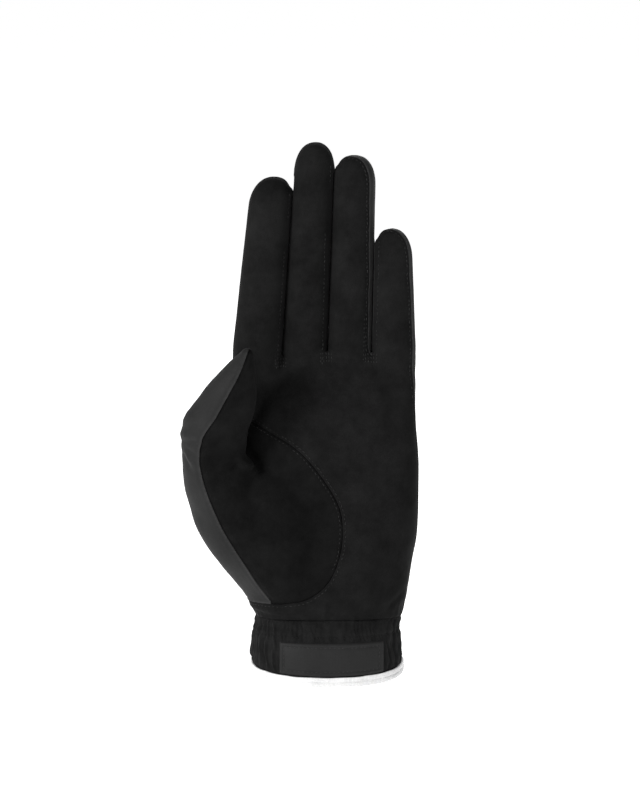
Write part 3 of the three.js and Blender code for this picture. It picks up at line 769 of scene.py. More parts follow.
def relaxed(points, links, rounds, share=0.5, weight=None):
    """Points moved towards the middle of their neighbours by a share of the way, a number of times."""
    count = len(points)
    degree = np.bincount(links.ravel(), minlength=count).astype(float)
    for _ in range(rounds):
        total = summed(links[:, 0], points[links[:, 1]], count)
        total += summed(links[:, 1], points[links[:, 0]], count)
        step = share * (total / np.maximum(degree, 1)[:, None] - points)
        points = points + (step if weight is None else step * weight[:, None])
    return points


def point_normals(points, triangles):
    """The outward direction at each point."""
    a, b, c = (points[triangles[:, i]] for i in range(3))
    facing = np.cross(b - a, c - a)
    normals = sum(summed(triangles[:, i], facing, len(points)) for i in range(3))
    length = np.linalg.norm(normals, axis=1)
    return normals / np.maximum(length, 1e-9)[:, None]


def lattice_noise(points, size, seed):
    """Smooth noise from -1 to 1 with lumps of the given size, the same every run."""
    place = points / size
    cell = np.floor(place).astype(np.int64)
    part = ease(place - cell)
    total = np.zeros(len(points))
    for corner in range(8):
        step = np.array([corner & 1, corner >> 1 & 1, corner >> 2 & 1])
        key = (cell + step) @ np.array([73856093, 19349663, 83492791]) + seed * 7919
        value = np.sin(key % 104729 * 12.9898) * 43758.5453
        value = (value - np.floor(value)) * 2.0 - 1.0
        weight = np.prod(np.where(step == 1, part, 1.0 - part), axis=1)
        total += weight * value
    return total


def crease_depth(points):
    """How far the creases press the cloth in, each on the side of the hand that its line lies on."""
    flat = points[:, [0, 2]]
    depth = np.zeros(len(points))
    for row in CREASES:
        start, end = np.array(row[:3]), np.array(row[3:6])
        line = (end - start)[[0, 2]]
        share = np.clip((flat - start[[0, 2]]) @ line / (line @ line), 0.0, 1.0)
        gap = np.linalg.norm(flat - (start[[0, 2]] + share[:, None] * line), axis=1)
        behind = points[:, 1] - (start[1] + share * (end[1] - start[1]))
        fade = 0.35 + 0.65 * ease(np.minimum(share, 1 - share) / 0.3)
        depth += row[7] * fade * np.exp(-((gap / row[6]) ** 2) - (behind / CREASE_REACH) ** 2)
    return depth


def wrist_angle(x, y):
    """The angle round the wrist, as the cuff's rings have it."""
    wide = 0.78 * HALF_KNUCKLES
    deep = 0.9 * PALM_FRONT
    across = signed_power((x - HAND_SHIFT) / wide, 4.0 / PALM_SQUARENESS)
    depth = signed_power(y / deep, 4.0 / PALM_SQUARENESS)
    return np.arctan2(depth, across) % (2 * np.pi)


def wrist_pleats(points, angle):
    """The gathers and slack where the palm and back run into the cuff."""
    slack = points * np.array([1.0, 1.0, 1.5]) + np.array([0.6, 0.0, 0.0]) * points[:, 2:]
    return 0.75 * (gathers(angle, points[:, 2]) - 0.4) + 0.8 * lattice_noise(slack, 7.0, 11)


def cloth_folds(points, normals):
    """How far the worn cloth stands proud: slack at the wrist and thumb, soft waves elsewhere."""
    x, y, z = points.T
    waves = 0.34 * lattice_noise(points, 19.0, 3) + 0.15 * lattice_noise(points, 8.0, 5)
    waves *= np.where(z > WEB_HEIGHT, 0.2 + 0.8 * np.abs(normals[:, 1]), 1.0)
    near_wrist = ease((CUFF_HEIGHT + WRIST_SLACK - z) / WRIST_SLACK)
    pleats = wrist_pleats(points, wrist_angle(x, y)) * near_wrist**1.4
    bulge = np.where(x < 0, 0.8, -0.4) * bell(z - CUFF_HEIGHT - 4.2, 3.4)
    joints = np.zeros(len(points))
    for finger in FINGERS:
        aside = x - finger.centre_at(z)
        nearby = np.abs(aside) < finger.width / 2 + 0.4
        for share in FINGER_JOINTS:
            height = WEB_HEIGHT + share * finger.length + JOINT_SLANT * aside
            joints -= JOINT_DEPTH * nearby * np.abs(normals[:, 1]) ** 2 * bell(z - height, JOINT_BREADTH)
    return waves + pleats + bulge + joints - crease_depth(points)


# Seams


def inset_outline():
    """The closed outline of the thumb panel in x and z."""
    places = np.array([(x * KNUCKLE_WIDTH, CUFF_HEIGHT + z * PALM_LENGTH) for x, z in INSET_SEAM])
    keys = along_points(places)[:, None]
    line = through(np.hstack([keys, places]), np.linspace(0, 1, 70))
    outer = INSET_OUTER * KNUCKLE_WIDTH
    first = [(outer, CUFF_HEIGHT + INSET_TOP * PALM_LENGTH)]
    last = [(outer, CUFF_HEIGHT + HEEL_STRIP_FOOT * PALM_LENGTH)]
    return np.concatenate([first, line, last])


def outline_level(points, outline):
    """Distance in x and z to the outline, below zero inside it."""
    flat = points[:, [0, 2]]
    gap = np.full(len(points), np.inf)
    inside = np.zeros(len(points), bool)
    for start, end in zip(outline, np.roll(outline, -1, axis=0)):
        line = end - start
        share = np.clip((flat - start) @ line / (line @ line), 0.0, 1.0)
        gap = np.minimum(gap, np.linalg.norm(flat - (start + share[:, None] * line), axis=1))
        crosses = (start[1] > flat[:, 1]) != (end[1] > flat[:, 1])
        level = line[1] if abs(line[1]) > 1e-9 else 1e-9
        inside ^= crosses & (flat[:, 0] < start[0] + (flat[:, 1] - start[1]) * line[0] / level)
    return np.where(inside, -gap, gap)


def inset_level(points):
    """Distance to the seam of the thumb panel on the palm, below zero inside it."""
    return outline_level(points, inset_outline())


def side_level(points):
    """Distance behind the side seams, below zero on the palm's side."""
    return points[:, 1] - seam_surface(points[:, 0], points[:, 2])


def wrist_level(points):
    """Height above the cuff."""
    return points[:, 2] - CUFF_HEIGHT


def strip_levels(points):
    """For each gap between fingers, the level that is below zero on its strip."""
    x, y, z = points.T
    levels = []
    for first, second, back in zip(FINGERS, FINGERS[1:], STRIP_SETBACKS):
        top = WEB_HEIGHT + min(first.length, second.length) - 0.55 * TIP_LENGTH
        bottom = WEB_HEIGHT - STRIP_FOOT * PALM_LENGTH - first.web_drop
        share = (z - bottom) / (top - bottom)
        fullness = 0.25 + 0.75 * ease(share / 0.22) * ease((1 - share) / 0.25)
        across = np.minimum(x - first.centre_at(z), second.centre_at(z) - x)
        level = np.abs(y - centre_depth(x, z) - back) - (STRIP_WIDTH / 2 - back / 2) * fullness
        outside = (share < 0) | (share > 1) | (across < 0)
        levels.append(np.where(outside, FAR_LEVEL, level))
    return levels


THUMB = ThumbCourse(THUMB_COURSE_STEPS)


def thumb_level(points):
    """Level of the seam between the palm and back cloth of thumb and heel, below zero on the back cloth."""
    station, u, v = THUMB.nearest(points)
    wide, deep = THUMB.half_wide[station], THUMB.half_deep[station]
    share = np.clip((v / (deep + THUMB_MARGIN) + 1) / 2, 0, 1)
    limit = THUMB_REAR_SEAM * (1 - share) - THUMB.seam[station] * share
    near = (np.abs(v) < 1.3 * deep + THUMB_MARGIN) & (np.abs(u) < 1.25 * wide + THUMB_MARGIN)
    above = points[:, 2] > CUFF_HEIGHT + HEEL_STRIP_FOOT * PALM_LENGTH
    return np.where(near & above, u - limit * wide, FAR_LEVEL)


def on_thumb(points):
    """True where a point lies on the free part of the thumb, above its web with the palm."""
    station, u, v = THUMB.nearest(points)
    wide, deep = THUMB.half_wide[station] + 1.0, THUMB.half_deep[station] + 1.0
    close = (u / wide) ** 2 + (v / deep) ** 2 < THUMB_REACH**2
    return close & (THUMB.at[station] > THUMB_WEB_AT) & (points[:, 2] > THUMB_FREE_HEIGHT)


def crossings(links, level):
    """The edges that cross level 0, and the share of each that lies before the crossing."""
    crossing = links[level[links[:, 0]] * level[links[:, 1]] < 0]
    start, end = level[crossing[:, 0]], level[crossing[:, 1]]
    return crossing, start / (start - end)


def ring_with_cuts(corners, new_at):
    """A triangle's corners in order, with the new points on its cut edges between them."""
    ring = []
    for a, b in zip(corners, corners[1:] + corners[:1]):
        ring.append(a)
        middle = new_at.get((min(a, b), max(a, b)))
        if middle is not None:
            ring.append(middle)
    return ring


def fan(ring):
    """Triangles from the first point of a ring to all its other sides."""
    return [(ring[0], ring[i], ring[i + 1]) for i in range(1, len(ring) - 1)]


def with_replaced(triangles, dropped, made):
    """The triangles without the dropped rows and with the made ones."""
    if not made:
        return triangles
    keep = np.ones(len(triangles), bool)
    keep[dropped] = False
    return np.concatenate([triangles[keep], np.array(made)])


def cut_along(points, triangles, level_of, where):
    """Cuts the triangles where they cross level 0, after moving points that lie close to it onto it."""
    level = level_of(points)
    chosen = np.nonzero(where(points[triangles].mean(axis=1)))[0]
    links = neighbour_links(triangles[chosen])
    crossing, share = crossings(links, level)
    moves = {}
    for (a, b), t in zip(crossing.tolist(), share.tolist()):
        for point, other, part in ((a, b, t), (b, a, 1 - t)):
            if part < CLOSE_TO_CUT and part < moves.get(point, (1.0,))[0]:
                moves[point] = (part, other)
    original = points.copy()
    for point, (part, other) in moves.items():
        points[point] = original[point] + part * (original[other] - original[point])
        level[point] = 0.0
    crossing, share = crossings(links, level)
    added = points[crossing[:, 0]] + share[:, None] * (points[crossing[:, 1]] - points[crossing[:, 0]])
    new_at = {tuple(pair): len(points) + i for i, pair in enumerate(crossing.tolist())}
    points = np.concatenate([points, added])
    signs = np.sign(level[triangles[chosen]])
    split = chosen[(signs.min(axis=1) < 0) & (signs.max(axis=1) > 0)]
    made = []
    for corners in triangles[split].tolist():
        ring = ring_with_cuts(corners, new_at)
        first, second = [i for i, p in enumerate(ring) if p >= len(level) or level[p] == 0][:2]
        made += fan(ring[first:second + 1]) + fan(ring[second:] + ring[:first + 1])
    # A neighbour outside the chosen part that shares a cut edge is cut too, so that no crack opens
    return close_cracks(points, with_replaced(triangles, split, made), new_at)


def close_cracks(points, triangles, new_at):
    """Splits the triangles that still have a cut edge."""
    if not new_at:
        return points, triangles
    size = len(points)
    pairs = np.array(list(new_at))
    codes = np.sort(pairs[:, 0] * size + pairs[:, 1])
    touched = np.zeros(len(triangles), bool)
    for i in range(3):
        side = np.sort(triangles[:, [i, (i + 1) % 3]], axis=1)
        touched |= np.isin(side[:, 0] * size + side[:, 1], codes)
    made = []
    for corners in triangles[touched].tolist():
        ring = ring_with_cuts(corners, new_at)
        start = next(i for i, p in enumerate(ring) if p >= size - len(new_at))
        made += fan(ring[start:] + ring[:start])
    return points, with_replaced(triangles, touched, made)


def level_lines(points, triangles, level, step):
    """Evenly spaced points along the lines where level is 0, in chains."""
    segments = {}
    values = level[triangles]
    crossed = np.nonzero((values.min(axis=1) < 0) & (values.max(axis=1) > 0))[0]
    places = {}
    for row in crossed:
        keys = []
        for a, b in ((0, 1), (1, 2), (2, 0)):
            p, q = int(triangles[row, a]), int(triangles[row, b])
            if level[p] * level[q] < 0:
                key = (min(p, q), max(p, q))
                share = level[p] / (level[p] - level[q])
                places[key] = points[p] + share * (points[q] - points[p])
                keys.append(key)
        if len(keys) == 2:
            segments.setdefault(keys[0], []).append(keys[1])
            segments.setdefault(keys[1], []).append(keys[0])
    chains, seen = [], set()
    ends = sorted(key for key, links in segments.items() if len(links) == 1)
    for start in ends + sorted(segments):
        if start in seen:
            continue
        chain, key = [], start
        while key is not None:
            seen.add(key)
            chain.append(places[key])
            key = next((other for other in segments[key] if other not in seen), None)
        chains.append(np.array(chain))
    long_enough = [chain for chain in chains if len(chain) > 1 and run_along(chain)[-1] >= 3 * step]
    return [evenly_spaced(chain, step) for chain in long_enough]


def free_thumb(points):
    """True on the thumb, where it lies in front of a slanted plane before the fingers."""
    x, y, z = points.T
    return (x < -18.0) & (y < -19.5 - 0.15 * (z - 122.0)) & (z > 105.0)


def smooth_skin():
    """The whole glove from wrist to fingertips as one even skin of triangles."""
    forms = [palm_form(), thumb_form(), ball_form()] + [finger_form(finger) for finger in FINGERS]
    points, quads = remeshed(*joined_forms(forms), VOXEL)
    triangles = triangles_of(quads)
    links = neighbour_links(quads)
    # Smoothed to and fro, so that the forms keep most of their size
    for _ in range(RELAX_ROUNDS):
        points = relaxed(points, links, 1, 0.5)
        points = relaxed(points, links, 1, -0.5)
        points = relaxed(points, links, 1, 0.25)
    x, y, z = points.T
    thumb = free_thumb(points)
    roots = bell(z - WEB_HEIGHT + 2.0, 9.0) * ~thumb
    ball = np.exp(-(((x + 24.0) / 26.0) ** 2) - (((z - 66.0) / 34.0) ** 2)) * (y < 0)
    points = relaxed(points, links, 26, 0.5, np.clip(0.85 * roots + ball, 0.0, 1.0))
    apart = points.copy()
    shift = finger_spread(points[:, 0], points[:, 2], True)
    points[:, 0] -= np.where(thumb, 0.0, shift)
    normals = point_normals(points, triangles)
    points = points + normals * cloth_folds(points, normals)[:, None]
    points = relaxed(points, links, 2, 0.4)
    return closed_up(points, apart, thumb), triangles


def closed_up(points, apart, thumb):
    """Neighbouring fingers brought side by side, so that they all but touch along their length."""
    points = points.copy()
    rise = ease((apart[:, 2] - WEB_HEIGHT + SPREAD_RISE) / SPREAD_RISE)
    for index, (first, second) in enumerate(zip(FINGERS, FINGERS[1:])):
        edges = finger_edges(points[:, 2])
        middle = (edges[2 * index + 1] + edges[2 * index + 2]) / 2
        top = WEB_HEIGHT + min(first.length, second.length) - TIP_LENGTH
        divide = middle + (index - 1) * SPREAD * rise
        for finger, side in ((first, 1), (second, -1)):
            beyond = (apart[:, 0] < divide) if side > 0 else (apart[:, 0] >= divide)
            reach = side * (points[:, 0] - finger.centre_at(points[:, 2]))
            mine = beyond & ~thumb & (reach > 0) & (reach < finger.width * 0.7)
            mine &= points[:, 2] > WEB_HEIGHT
            gap = side * (middle - points[:, 0])
            levels = np.arange(WEB_HEIGHT + 0.5, top + TIP_CLOSING, 1.0)
            least = [gap[mine & (np.abs(points[:, 2] - level) < 0.8)].min() for level in levels]
            closing = np.interp(points[:, 2], levels, np.array(least)) - TOUCH_GAP / 2
            fade = ease((points[:, 2] - WEB_HEIGHT) / 1.5)
            fade *= ease((top + TIP_CLOSING + 2.0 - points[:, 2]) / 3.5)
            share = np.where(mine, ease(reach / (0.45 * finger.width)) * fade, 0.0)
            points[:, 0] += side * closing * share
            # The sides press flat on each other, aslant so that no light passes between them
            behind = points[:, 1] - centre_depth(middle, points[:, 2])
            room = side * (middle - points[:, 0]) - TOUCH_GAP / 2
            pressed = ease((PRESSED_DEPTH - np.abs(behind)) / 3.0) * ease((2.2 - room) / 1.2)
            flat = side * np.maximum(room, 0.0) * pressed
            points[:, 0] += (flat + TOUCH_SLANT * np.tanh(behind / 3.0)) * share
    return points


def panel_skins():
    """The skin cut along all its seams, with the name of the panel for each triangle."""
    points, triangles = smooth_skin()

    def everywhere(middles):
        return np.ones(len(middles), bool)

    def on_hand(middles):
        return ~on_thumb(middles)

    def on_palm_side(middles):
        return (side_level(middles) < 1.5) & ~on_thumb(middles)

    def on_thumb_cloth(middles):
        inside = (inset_level(middles) < 0.6) & (side_level(middles) < 0.6)
        return inside | on_thumb(middles)

    points, triangles = cut_along(points, triangles, wrist_level, everywhere)
    triangles = triangles[points[triangles].mean(axis=1)[:, 2] > CUFF_HEIGHT]
    cuts = [(side_level, on_hand), (inset_level, on_palm_side), (thumb_level, on_thumb_cloth)]
    cuts += [(lambda p, gap=gap: strip_levels(p)[gap], on_hand) for gap in range(len(STRIP_SETBACKS))]
    for level_of, where in cuts:
        points, triangles = cut_along(points, triangles, level_of, where)

    middles = points[triangles].mean(axis=1)
    front = side_level(middles) < 0
    in_thumb = on_thumb(middles) | (front & (inset_level(middles) < 0))
    names = np.where(front, "palm_panel", "back_panel").astype(object)
    names[in_thumb] = "thumb_panel"
    names[in_thumb & (thumb_level(middles) < 0)] = "back_panel"
    strips = [node for node in PANELS if node.startswith("forchette")]
    for name, level in zip(strips, strip_levels(middles)):
        names[(level < 0) & ~in_thumb] = name
    return points, triangles, tidy_names(triangles, names)


def tidy_names(triangles, names):
    """Stray triangles of a panel take the name that most of their neighbours have."""
    size = int(triangles.max()) + 1
    for _ in range(3):
        owner = {}
        for i in range(3):
            side = np.sort(triangles[:, [i, (i + 1) % 3]], axis=1)
            for row, code in enumerate((side[:, 0] * size + side[:, 1]).tolist()):
                owner.setdefault(code, []).append(row)
        beside = [[] for _ in range(len(triangles))]
        for rows in owner.values():
            if len(rows) == 2:
                beside[rows[0]].append(names[rows[1]])
                beside[rows[1]].append(names[rows[0]])
        changed = 0
        fresh = names.copy()
        for row, others in enumerate(beside):
            if len(others) == 3 and names[row] not in others:
                fresh[row] = max(others, key=others.count)
                changed += 1
        names = fresh
        if not changed:
            break
    return names


def part_of(points, triangles, chosen, normals):
    """The points, triangles and outward directions of the chosen triangles alone."""
    used = np.unique(triangles[chosen])
    renumber = np.full(len(points), -1)
    renumber[used] = np.arange(len(used))
    return points[used], renumber[triangles[chosen]], normals[used]


def rim_sides(triangles):
    """Edges that only one triangle has, in that triangle's direction."""
    sides = np.concatenate([triangles[:, [0, 1]], triangles[:, [1, 2]], triangles[:, [2, 0]]])
    size = int(triangles.max()) + 1
    low, high = sides.min(axis=1), sides.max(axis=1)
    _, first, count = np.unique(low * size + high, return_index=True, return_counts=True)
    return sides[first[count == 1]]


def rim_distance(points, triangles):
    """The distance from each point to the nearest seam, without the edge at the cuff."""
    sides = rim_sides(triangles)
    sides = sides[points[sides].mean(axis=1)[:, 2] > CUFF_HEIGHT + 0.2]
    tree = tree_of(np.concatenate([points[np.unique(sides)], points[sides].mean(axis=1)]))
    return np.array([tree.find(place)[2] for place in points.tolist()])


def with_lining(points, triangles, normals, wall):
    """Closes a skin into a thin solid with its inner side and the wall round its rim."""
    count = len(points)
    inner = points - normals * wall
    sides = rim_sides(triangles)
    a, b = sides[:, 0], sides[:, 1]
    walls = np.concatenate([
        np.stack([b, a, a + count], axis=1),
        np.stack([b, a + count, b + count], axis=1),
    ])
    faces = np.concatenate([triangles, triangles[:, ::-1] + count, walls])
    return np.concatenate([points, inner]), faces


def between_fingers(points):
    """1 on the sides of the fingers that face each other, 0 elsewhere."""
    x, z = points[:, 0], points[:, 2]
    edges = finger_edges(z)
    near = np.zeros(len(points))
    for index, (first, second) in enumerate(zip(FINGERS, FINGERS[1:])):
        middle = (edges[2 * index + 1] + edges[2 * index + 2]) / 2
        top = WEB_HEIGHT + min(first.length, second.length)
        within = ease((z - WEB_HEIGHT + 1.0) / 2.0) * (z < top)
        near = np.maximum(near, within * ease((2.4 - np.abs(x - middle)) / 1.6))
    return near


def panel_relief(points, triangles, normals, distance, sink, rise):
    """Sinks the seams, rolls the cloth beside them and draws the rim back for a hairline gap."""
    near_rim = bell(distance, SEAM_BREADTH)
    roll = bell(distance - ROLL_AT, ROLL_BREADTH)
    groove = bell(distance - STITCH_INSET, GROOVE_BREADTH)
    free = 1 - between_fingers(points) * normals[:, 0] ** 2
    relief = (rise * roll - sink * near_rim - GROOVE_DEPTH * groove) * free
    points = points + normals * relief[:, None]
    sides = rim_sides(triangles)
    rim = np.zeros(len(points), bool)
    rim[sides] = True
    links = neighbour_links(triangles)
    links = np.concatenate([links, links[:, ::-1]])
    links = links[rim[links[:, 0]] & ~rim[links[:, 1]]]
    count = np.bincount(links[:, 0], minlength=len(points))[:, None]
    total = summed(links[:, 0], points[links[:, 1]], len(points))
    middle = np.where(count > 0, total / np.maximum(count, 1), points)
    return points + RIM_DRAW * (middle - points)


def finish_piece(piece, node, material):
    """Gives a built piece its material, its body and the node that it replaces."""
    piece.data.materials.clear()
    piece.data.materials.append(material)
    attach(piece, "root")
    if node:
        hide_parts(node)


def stitch_places(chains, points, normals):
    """Places, directions along the row and outward directions for one stitch each."""
    tree = tree_of(points)
    rows = []
    for chain in chains:
        along = np.gradient(chain, axis=0)
        along /= np.maximum(np.linalg.norm(along, axis=1), 1e-9)[:, None]
        for place, direction in zip(chain, along):
            _, index, _ = tree.find(place.tolist())
            rows.append(np.concatenate([place, direction, normals[index]]))
    return np.array(rows).reshape(-1, 9)


def shown_rows(rows):
    """Which stitches along the palm's edge show: those on the ring finger's far side, and the others that lie
    neither between fingers nor on the first two fingers."""
    x, _, z = rows[:, :3].T
    hidden = between_fingers(rows) > 0.05
    ring = FINGERS[2]
    reach = (x - ring.centre_at(z)) / ring.width_at(z)
    return ~(hidden | ((z > WEB_HEIGHT - 4.0) & (x < 0.0))) | ((reach > 0.1) & (reach < 0.5))


def laid_on(places, points, normals):
    """Rows for upright stitches at x and z on the palm: place, direction and the way that the cloth faces."""
    facing = np.nonzero(normals[:, 1] < -0.3)[0]
    tree = tree_of(points[facing] * np.array([1.0, 0.0, 1.0]))
    rows = []
    for x, z in places:
        found = tree.find_n((x, 0.0, z), 4)
        weights = np.array([1.0 / (gap + 0.05) ** 2 for _, _, gap in found])
        weights /= weights.sum()
        nearby = facing[[index for _, index, _ in found]]
        rows.append([x, weights @ points[nearby, 1], z, 0.0, 0.0, 1.0, *(weights @ normals[nearby])])
    return np.array(rows)


def gap_stitches(points, normals, pitch):
    """The rows beside the gaps between fingers, and a small block of stitches below each gap."""
    places = []
    for gap, side, low, high, offset_low, offset_high in FINGER_ROWS:
        first, second = FINGERS[gap], FINGERS[gap + 1]
        length = min(first.length, second.length)
        for z in np.arange(WEB_HEIGHT + low * length, WEB_HEIGHT + high * length, pitch):
            edges = finger_edges(z)
            share = (z - WEB_HEIGHT) / length
            offset = offset_low + (offset_high - offset_low) * share
            x = (edges[2 * gap + 1] + edges[2 * gap + 2]) / 2 + side * offset
            places.append((x, z))
    for first, second in zip(FINGERS, FINGERS[1:]):
        middle = (first.root + first.width / 2 + second.root - second.width / 2) / 2
        for across, down in TACK_PLACES:
            z = WEB_HEIGHT - 0.4 * first.web_drop + TACK_UP - TACK_DOWN * down
            places.append((middle - TACK_SHIFT + TACK_ACROSS * across, z))
    return laid_on(places, points, normals)


def seam_stitches(node, part, faces, outward, distance, pitch):
    """Places for the stitches of the palm or thumb panel, a little inside its seams."""
    rows = stitch_places(level_lines(part, faces, distance - STITCH_INSET, pitch), part, outward)
    if node == "palm_panel":
        return np.concatenate([rows[shown_rows(rows)], gap_stitches(part, outward, pitch)])
    inset = np.abs(inset_level(rows[:, :3])) < 2 * STITCH_INSET
    upper = rows[:, 2] > CUFF_HEIGHT + INSET_ROW_FOOT * PALM_LENGTH
    return rows[inset & upper & ~on_thumb(rows[:, :3])]


def build_panels(settings):
    """The sewn panels and the strips between the fingers, each with its lining."""
    points, triangles, names = panel_skins()
    normals = point_normals(points, triangles)
    for node, (name, slot, finish, sink, rise) in PANELS.items():
        chosen = names == node
        if not chosen.any():
            raise RuntimeError(f"No cloth was found for {node}")
        part, faces, outward = part_of(points, triangles, chosen, normals)
        distance = rim_distance(part, faces)
        part = panel_relief(part, faces, outward, distance, sink, rise)
        if node in ("palm_panel", "thumb_panel"):
            pitch = settings.stitch_pitch / MM
            seam_rows[node] = seam_stitches(node, part, faces, outward, distance, pitch)
        solid, all_faces = with_lining(part, faces, outward, settings.cloth_wall / MM)
        piece = mesh_object(name, solid, all_faces.tolist())
        # Mask of the painted highlight along the seams, strongest at the rim, read by the finishes that
        # lighten there
        highlight_layer = piece.data.attributes.new("seam_highlight_mask", "FLOAT", "POINT")
        highlight_layer.data.foreach_set("value", np.tile(bell(distance, EDGE_HIGHLIGHT_REACH), 2))
        finish_piece(piece, node, cloth_finish(finish))


# Cuff, label and binding


def cuff_ring(z, angle):
    """The cuff's middle surface before gathering, at heights and angles of the same shape."""
    top = PALM_SECTIONS[0]
    last = (
        1.0,
        top[1] * HALF_KNUCKLES / (CUFF_WIDTH / 2),
        top[2] * HALF_KNUCKLES / (CUFF_WIDTH / 2),
        (top[3] * PALM_FRONT + top[4] * PALM_BACK) / 2 / CUFF_DEPTH,
    )
    shape = z.shape
    left, right, deep = through(CUFF_SECTIONS + (last,), (z / CUFF_HEIGHT).ravel()).T
    cosine, sine = np.cos(angle), np.sin(angle)
    wide = np.where(cosine > 0, right.reshape(shape), left.reshape(shape)) * CUFF_WIDTH / 2
    share = ease(z / CUFF_HEIGHT)
    x = signed_power(cosine, CUFF_SQUARENESS) * wide + HAND_SHIFT * share
    y = signed_power(sine, CUFF_SQUARENESS) * deep.reshape(shape) * CUFF_DEPTH
    return np.stack([x, y, z], axis=-1)


def rim_level(y):
    """The height of the rim, which is lower at the front than at the back."""
    return RIM_DROP * y / CUFF_DEPTH


def gather_set(angle, height, count, breadth, seed):
    """One set of irregular upright gathers, 0 in a valley and 1 on a ridge, that drift with height."""
    steps = np.linspace(0, 2 * np.pi, count, endpoint=False)
    wobble = np.sin(steps * 7.0 + 1.3 + seed) + 0.7 * np.sin(steps * 13.0 + 0.4)
    centres = steps + wobble * 0.3 * (2 * np.pi / count)
    strength = 0.68 + 0.32 * np.sin(steps * 5.0 + seed) * np.sin(steps * 11.0 + 2.0)
    drift = 0.02 * np.sin(height * 0.5 + angle * 9.0) + 0.01 * np.sin(height * 1.1 + angle * 23.0)
    turned = angle + drift
    width = breadth * 2 * np.pi / count
    ridge = np.zeros_like(turned)
    for centre, strong in zip(centres, strength):
        gap = np.abs((turned - centre + np.pi) % (2 * np.pi) - np.pi)
        ridge = np.maximum(ridge, strong * np.exp(-((gap / width) ** 2)))
    return ridge


def gathers(angle, height):
    """Broad gathers with finer ones between them, from 0 to 1."""
    coarse = gather_set(angle, height, 38, 0.36, 0.0)
    fine = gather_set(angle, height, 92, 0.4, 2.1)
    return 0.66 * coarse + 0.34 * fine


def front_share(x, y):
    """1 on the cloth behind the label, 0 elsewhere."""
    half = LABEL_WIDTH / 2
    return ease((half + 1.6 - np.abs(x - LABEL_OFFSET)) / 1.6) * (y < 0)


def ring_normals(rings):
    """The level outward direction at each point of closed rings."""
    turn = np.roll(rings, -1, axis=-2) - np.roll(rings, 1, axis=-2)
    normal = np.stack([turn[..., 1], -turn[..., 0], np.zeros(turn.shape[:-1])], axis=-1)
    return normal / np.maximum(np.linalg.norm(normal, axis=-1), 1e-9)[..., None]


def cuff_surface():
    """The cuff's outer surface in rings from the rim to the top, and its outward directions."""
    angle, share = np.meshgrid(around(CUFF_SIDES), np.linspace(0, 1, CUFF_ROWS))
    base = cuff_ring(share * CUFF_HEIGHT, angle)
    foot = rim_level(base[..., 1]) * (1 - share) ** 1.5
    z = foot + share * (CUFF_HEIGHT - 0.04)
    base = cuff_ring(np.clip(z, 0, CUFF_HEIGHT), angle)
    base[..., 2] = z
    normal = ring_normals(base)
    pleats = gathers(angle, z)
    below_top = ease((CUFF_HEIGHT * LABEL_TOP_AT + 1.2 - z) / 1.2)
    behind = front_share(base[..., 0], base[..., 1]) * below_top
    above_binding = ease((z - rim_level(base[..., 1]) - BINDING_HEIGHT + 0.8) / 3.0)
    depth = 0.2 + GATHER_DEPTH * above_binding * (1 - 0.92 * behind)
    relief = depth * (pleats - 0.4) + CUFF_PROUD
    for row in ELASTIC_ROWS:
        relief -= ELASTIC_DEPTH * bell(z - row, ELASTIC_BREADTH) * (0.35 + 0.65 * pleats)
    # The cloth stands out between the two rows and is held flat under the binding
    relief += 0.25 * bell(z - sum(ELASTIC_ROWS) / 2, 2.0) * above_binding
    relief -= 0.6 * (1 - above_binding)
    flat = base.reshape(-1, 3)
    puckers = lattice_noise(flat * np.array([1.0, 1.0, 0.7]), 2.6, 17).reshape(angle.shape)
    relief += 0.5 * puckers * above_binding * (1 - behind)
    # The top takes over the wrist pleats of the palm and back, so that the two meet
    joined = wrist_pleats(flat, wrist_angle(flat[:, 0], flat[:, 1])).reshape(angle.shape)
    share_of_palm = ease((z - CUFF_HEIGHT + 3.0) / 3.0)
    relief += (joined - relief) * share_of_palm
    # The neck just below the top, drawn in on the thumb's side and full on the far side
    rightward = base[..., 0] / (CUFF_WIDTH / 2)
    relief -= (0.4 - 0.5 * rightward) * bell(z - CUFF_HEIGHT + 3.6, 1.7)
    relief += 1.1 * ease(rightward) * bell(z - CUFF_HEIGHT + 4.6, 4.2)
    return base + normal * relief[..., None], normal


def grid_faces(rows, sides, closed, start=0, flipped=False):
    """Quads between the points of a grid, closed round its rows or open."""
    faces = []
    for row in range(rows - 1):
        for side in range(sides if closed else sides - 1):
            following = (side + 1) % sides
            low, high = start + row * sides, start + (row + 1) * sides
            face = (low + side, low + following, high + following, high + side)
            faces.append(face[::-1] if flipped else face)
    return faces


def build_cuff(settings):
    """The gathered cuff with its wall, and the places for the stitches along its rows of elastic."""
    outer, normal = cuff_surface()
    points = np.concatenate([outer.reshape(-1, 3), (outer - normal * CUFF_WALL).reshape(-1, 3)])
    count = CUFF_ROWS * CUFF_SIDES
    faces = grid_faces(CUFF_ROWS, CUFF_SIDES, True)
    faces += grid_faces(CUFF_ROWS, CUFF_SIDES, True, count, True)
    top = (CUFF_ROWS - 1) * CUFF_SIDES
    for side in range(CUFF_SIDES):
        following = (side + 1) % CUFF_SIDES
        faces.append((following, side, side + count, following + count))
        faces.append((top + side, top + following, top + following + count, top + side + count))
    piece = mesh_object("cuff_gathered_cloth", points, faces)
    finish_piece(piece, "cuff", cloth_finish("cuff_stretch"))
    chains = []
    heights = outer[..., 2].mean(axis=1)
    for height in ELASTIC_ROWS:
        row = int(np.argmin(np.abs(heights - height)))
        chain = np.concatenate([outer[row], outer[row, :1]])
        chains.append(evenly_spaced(chain, settings.stitch_pitch / MM))
    seam_rows["cuff"] = stitch_places(chains, outer.reshape(-1, 3), normal.reshape(-1, 3))


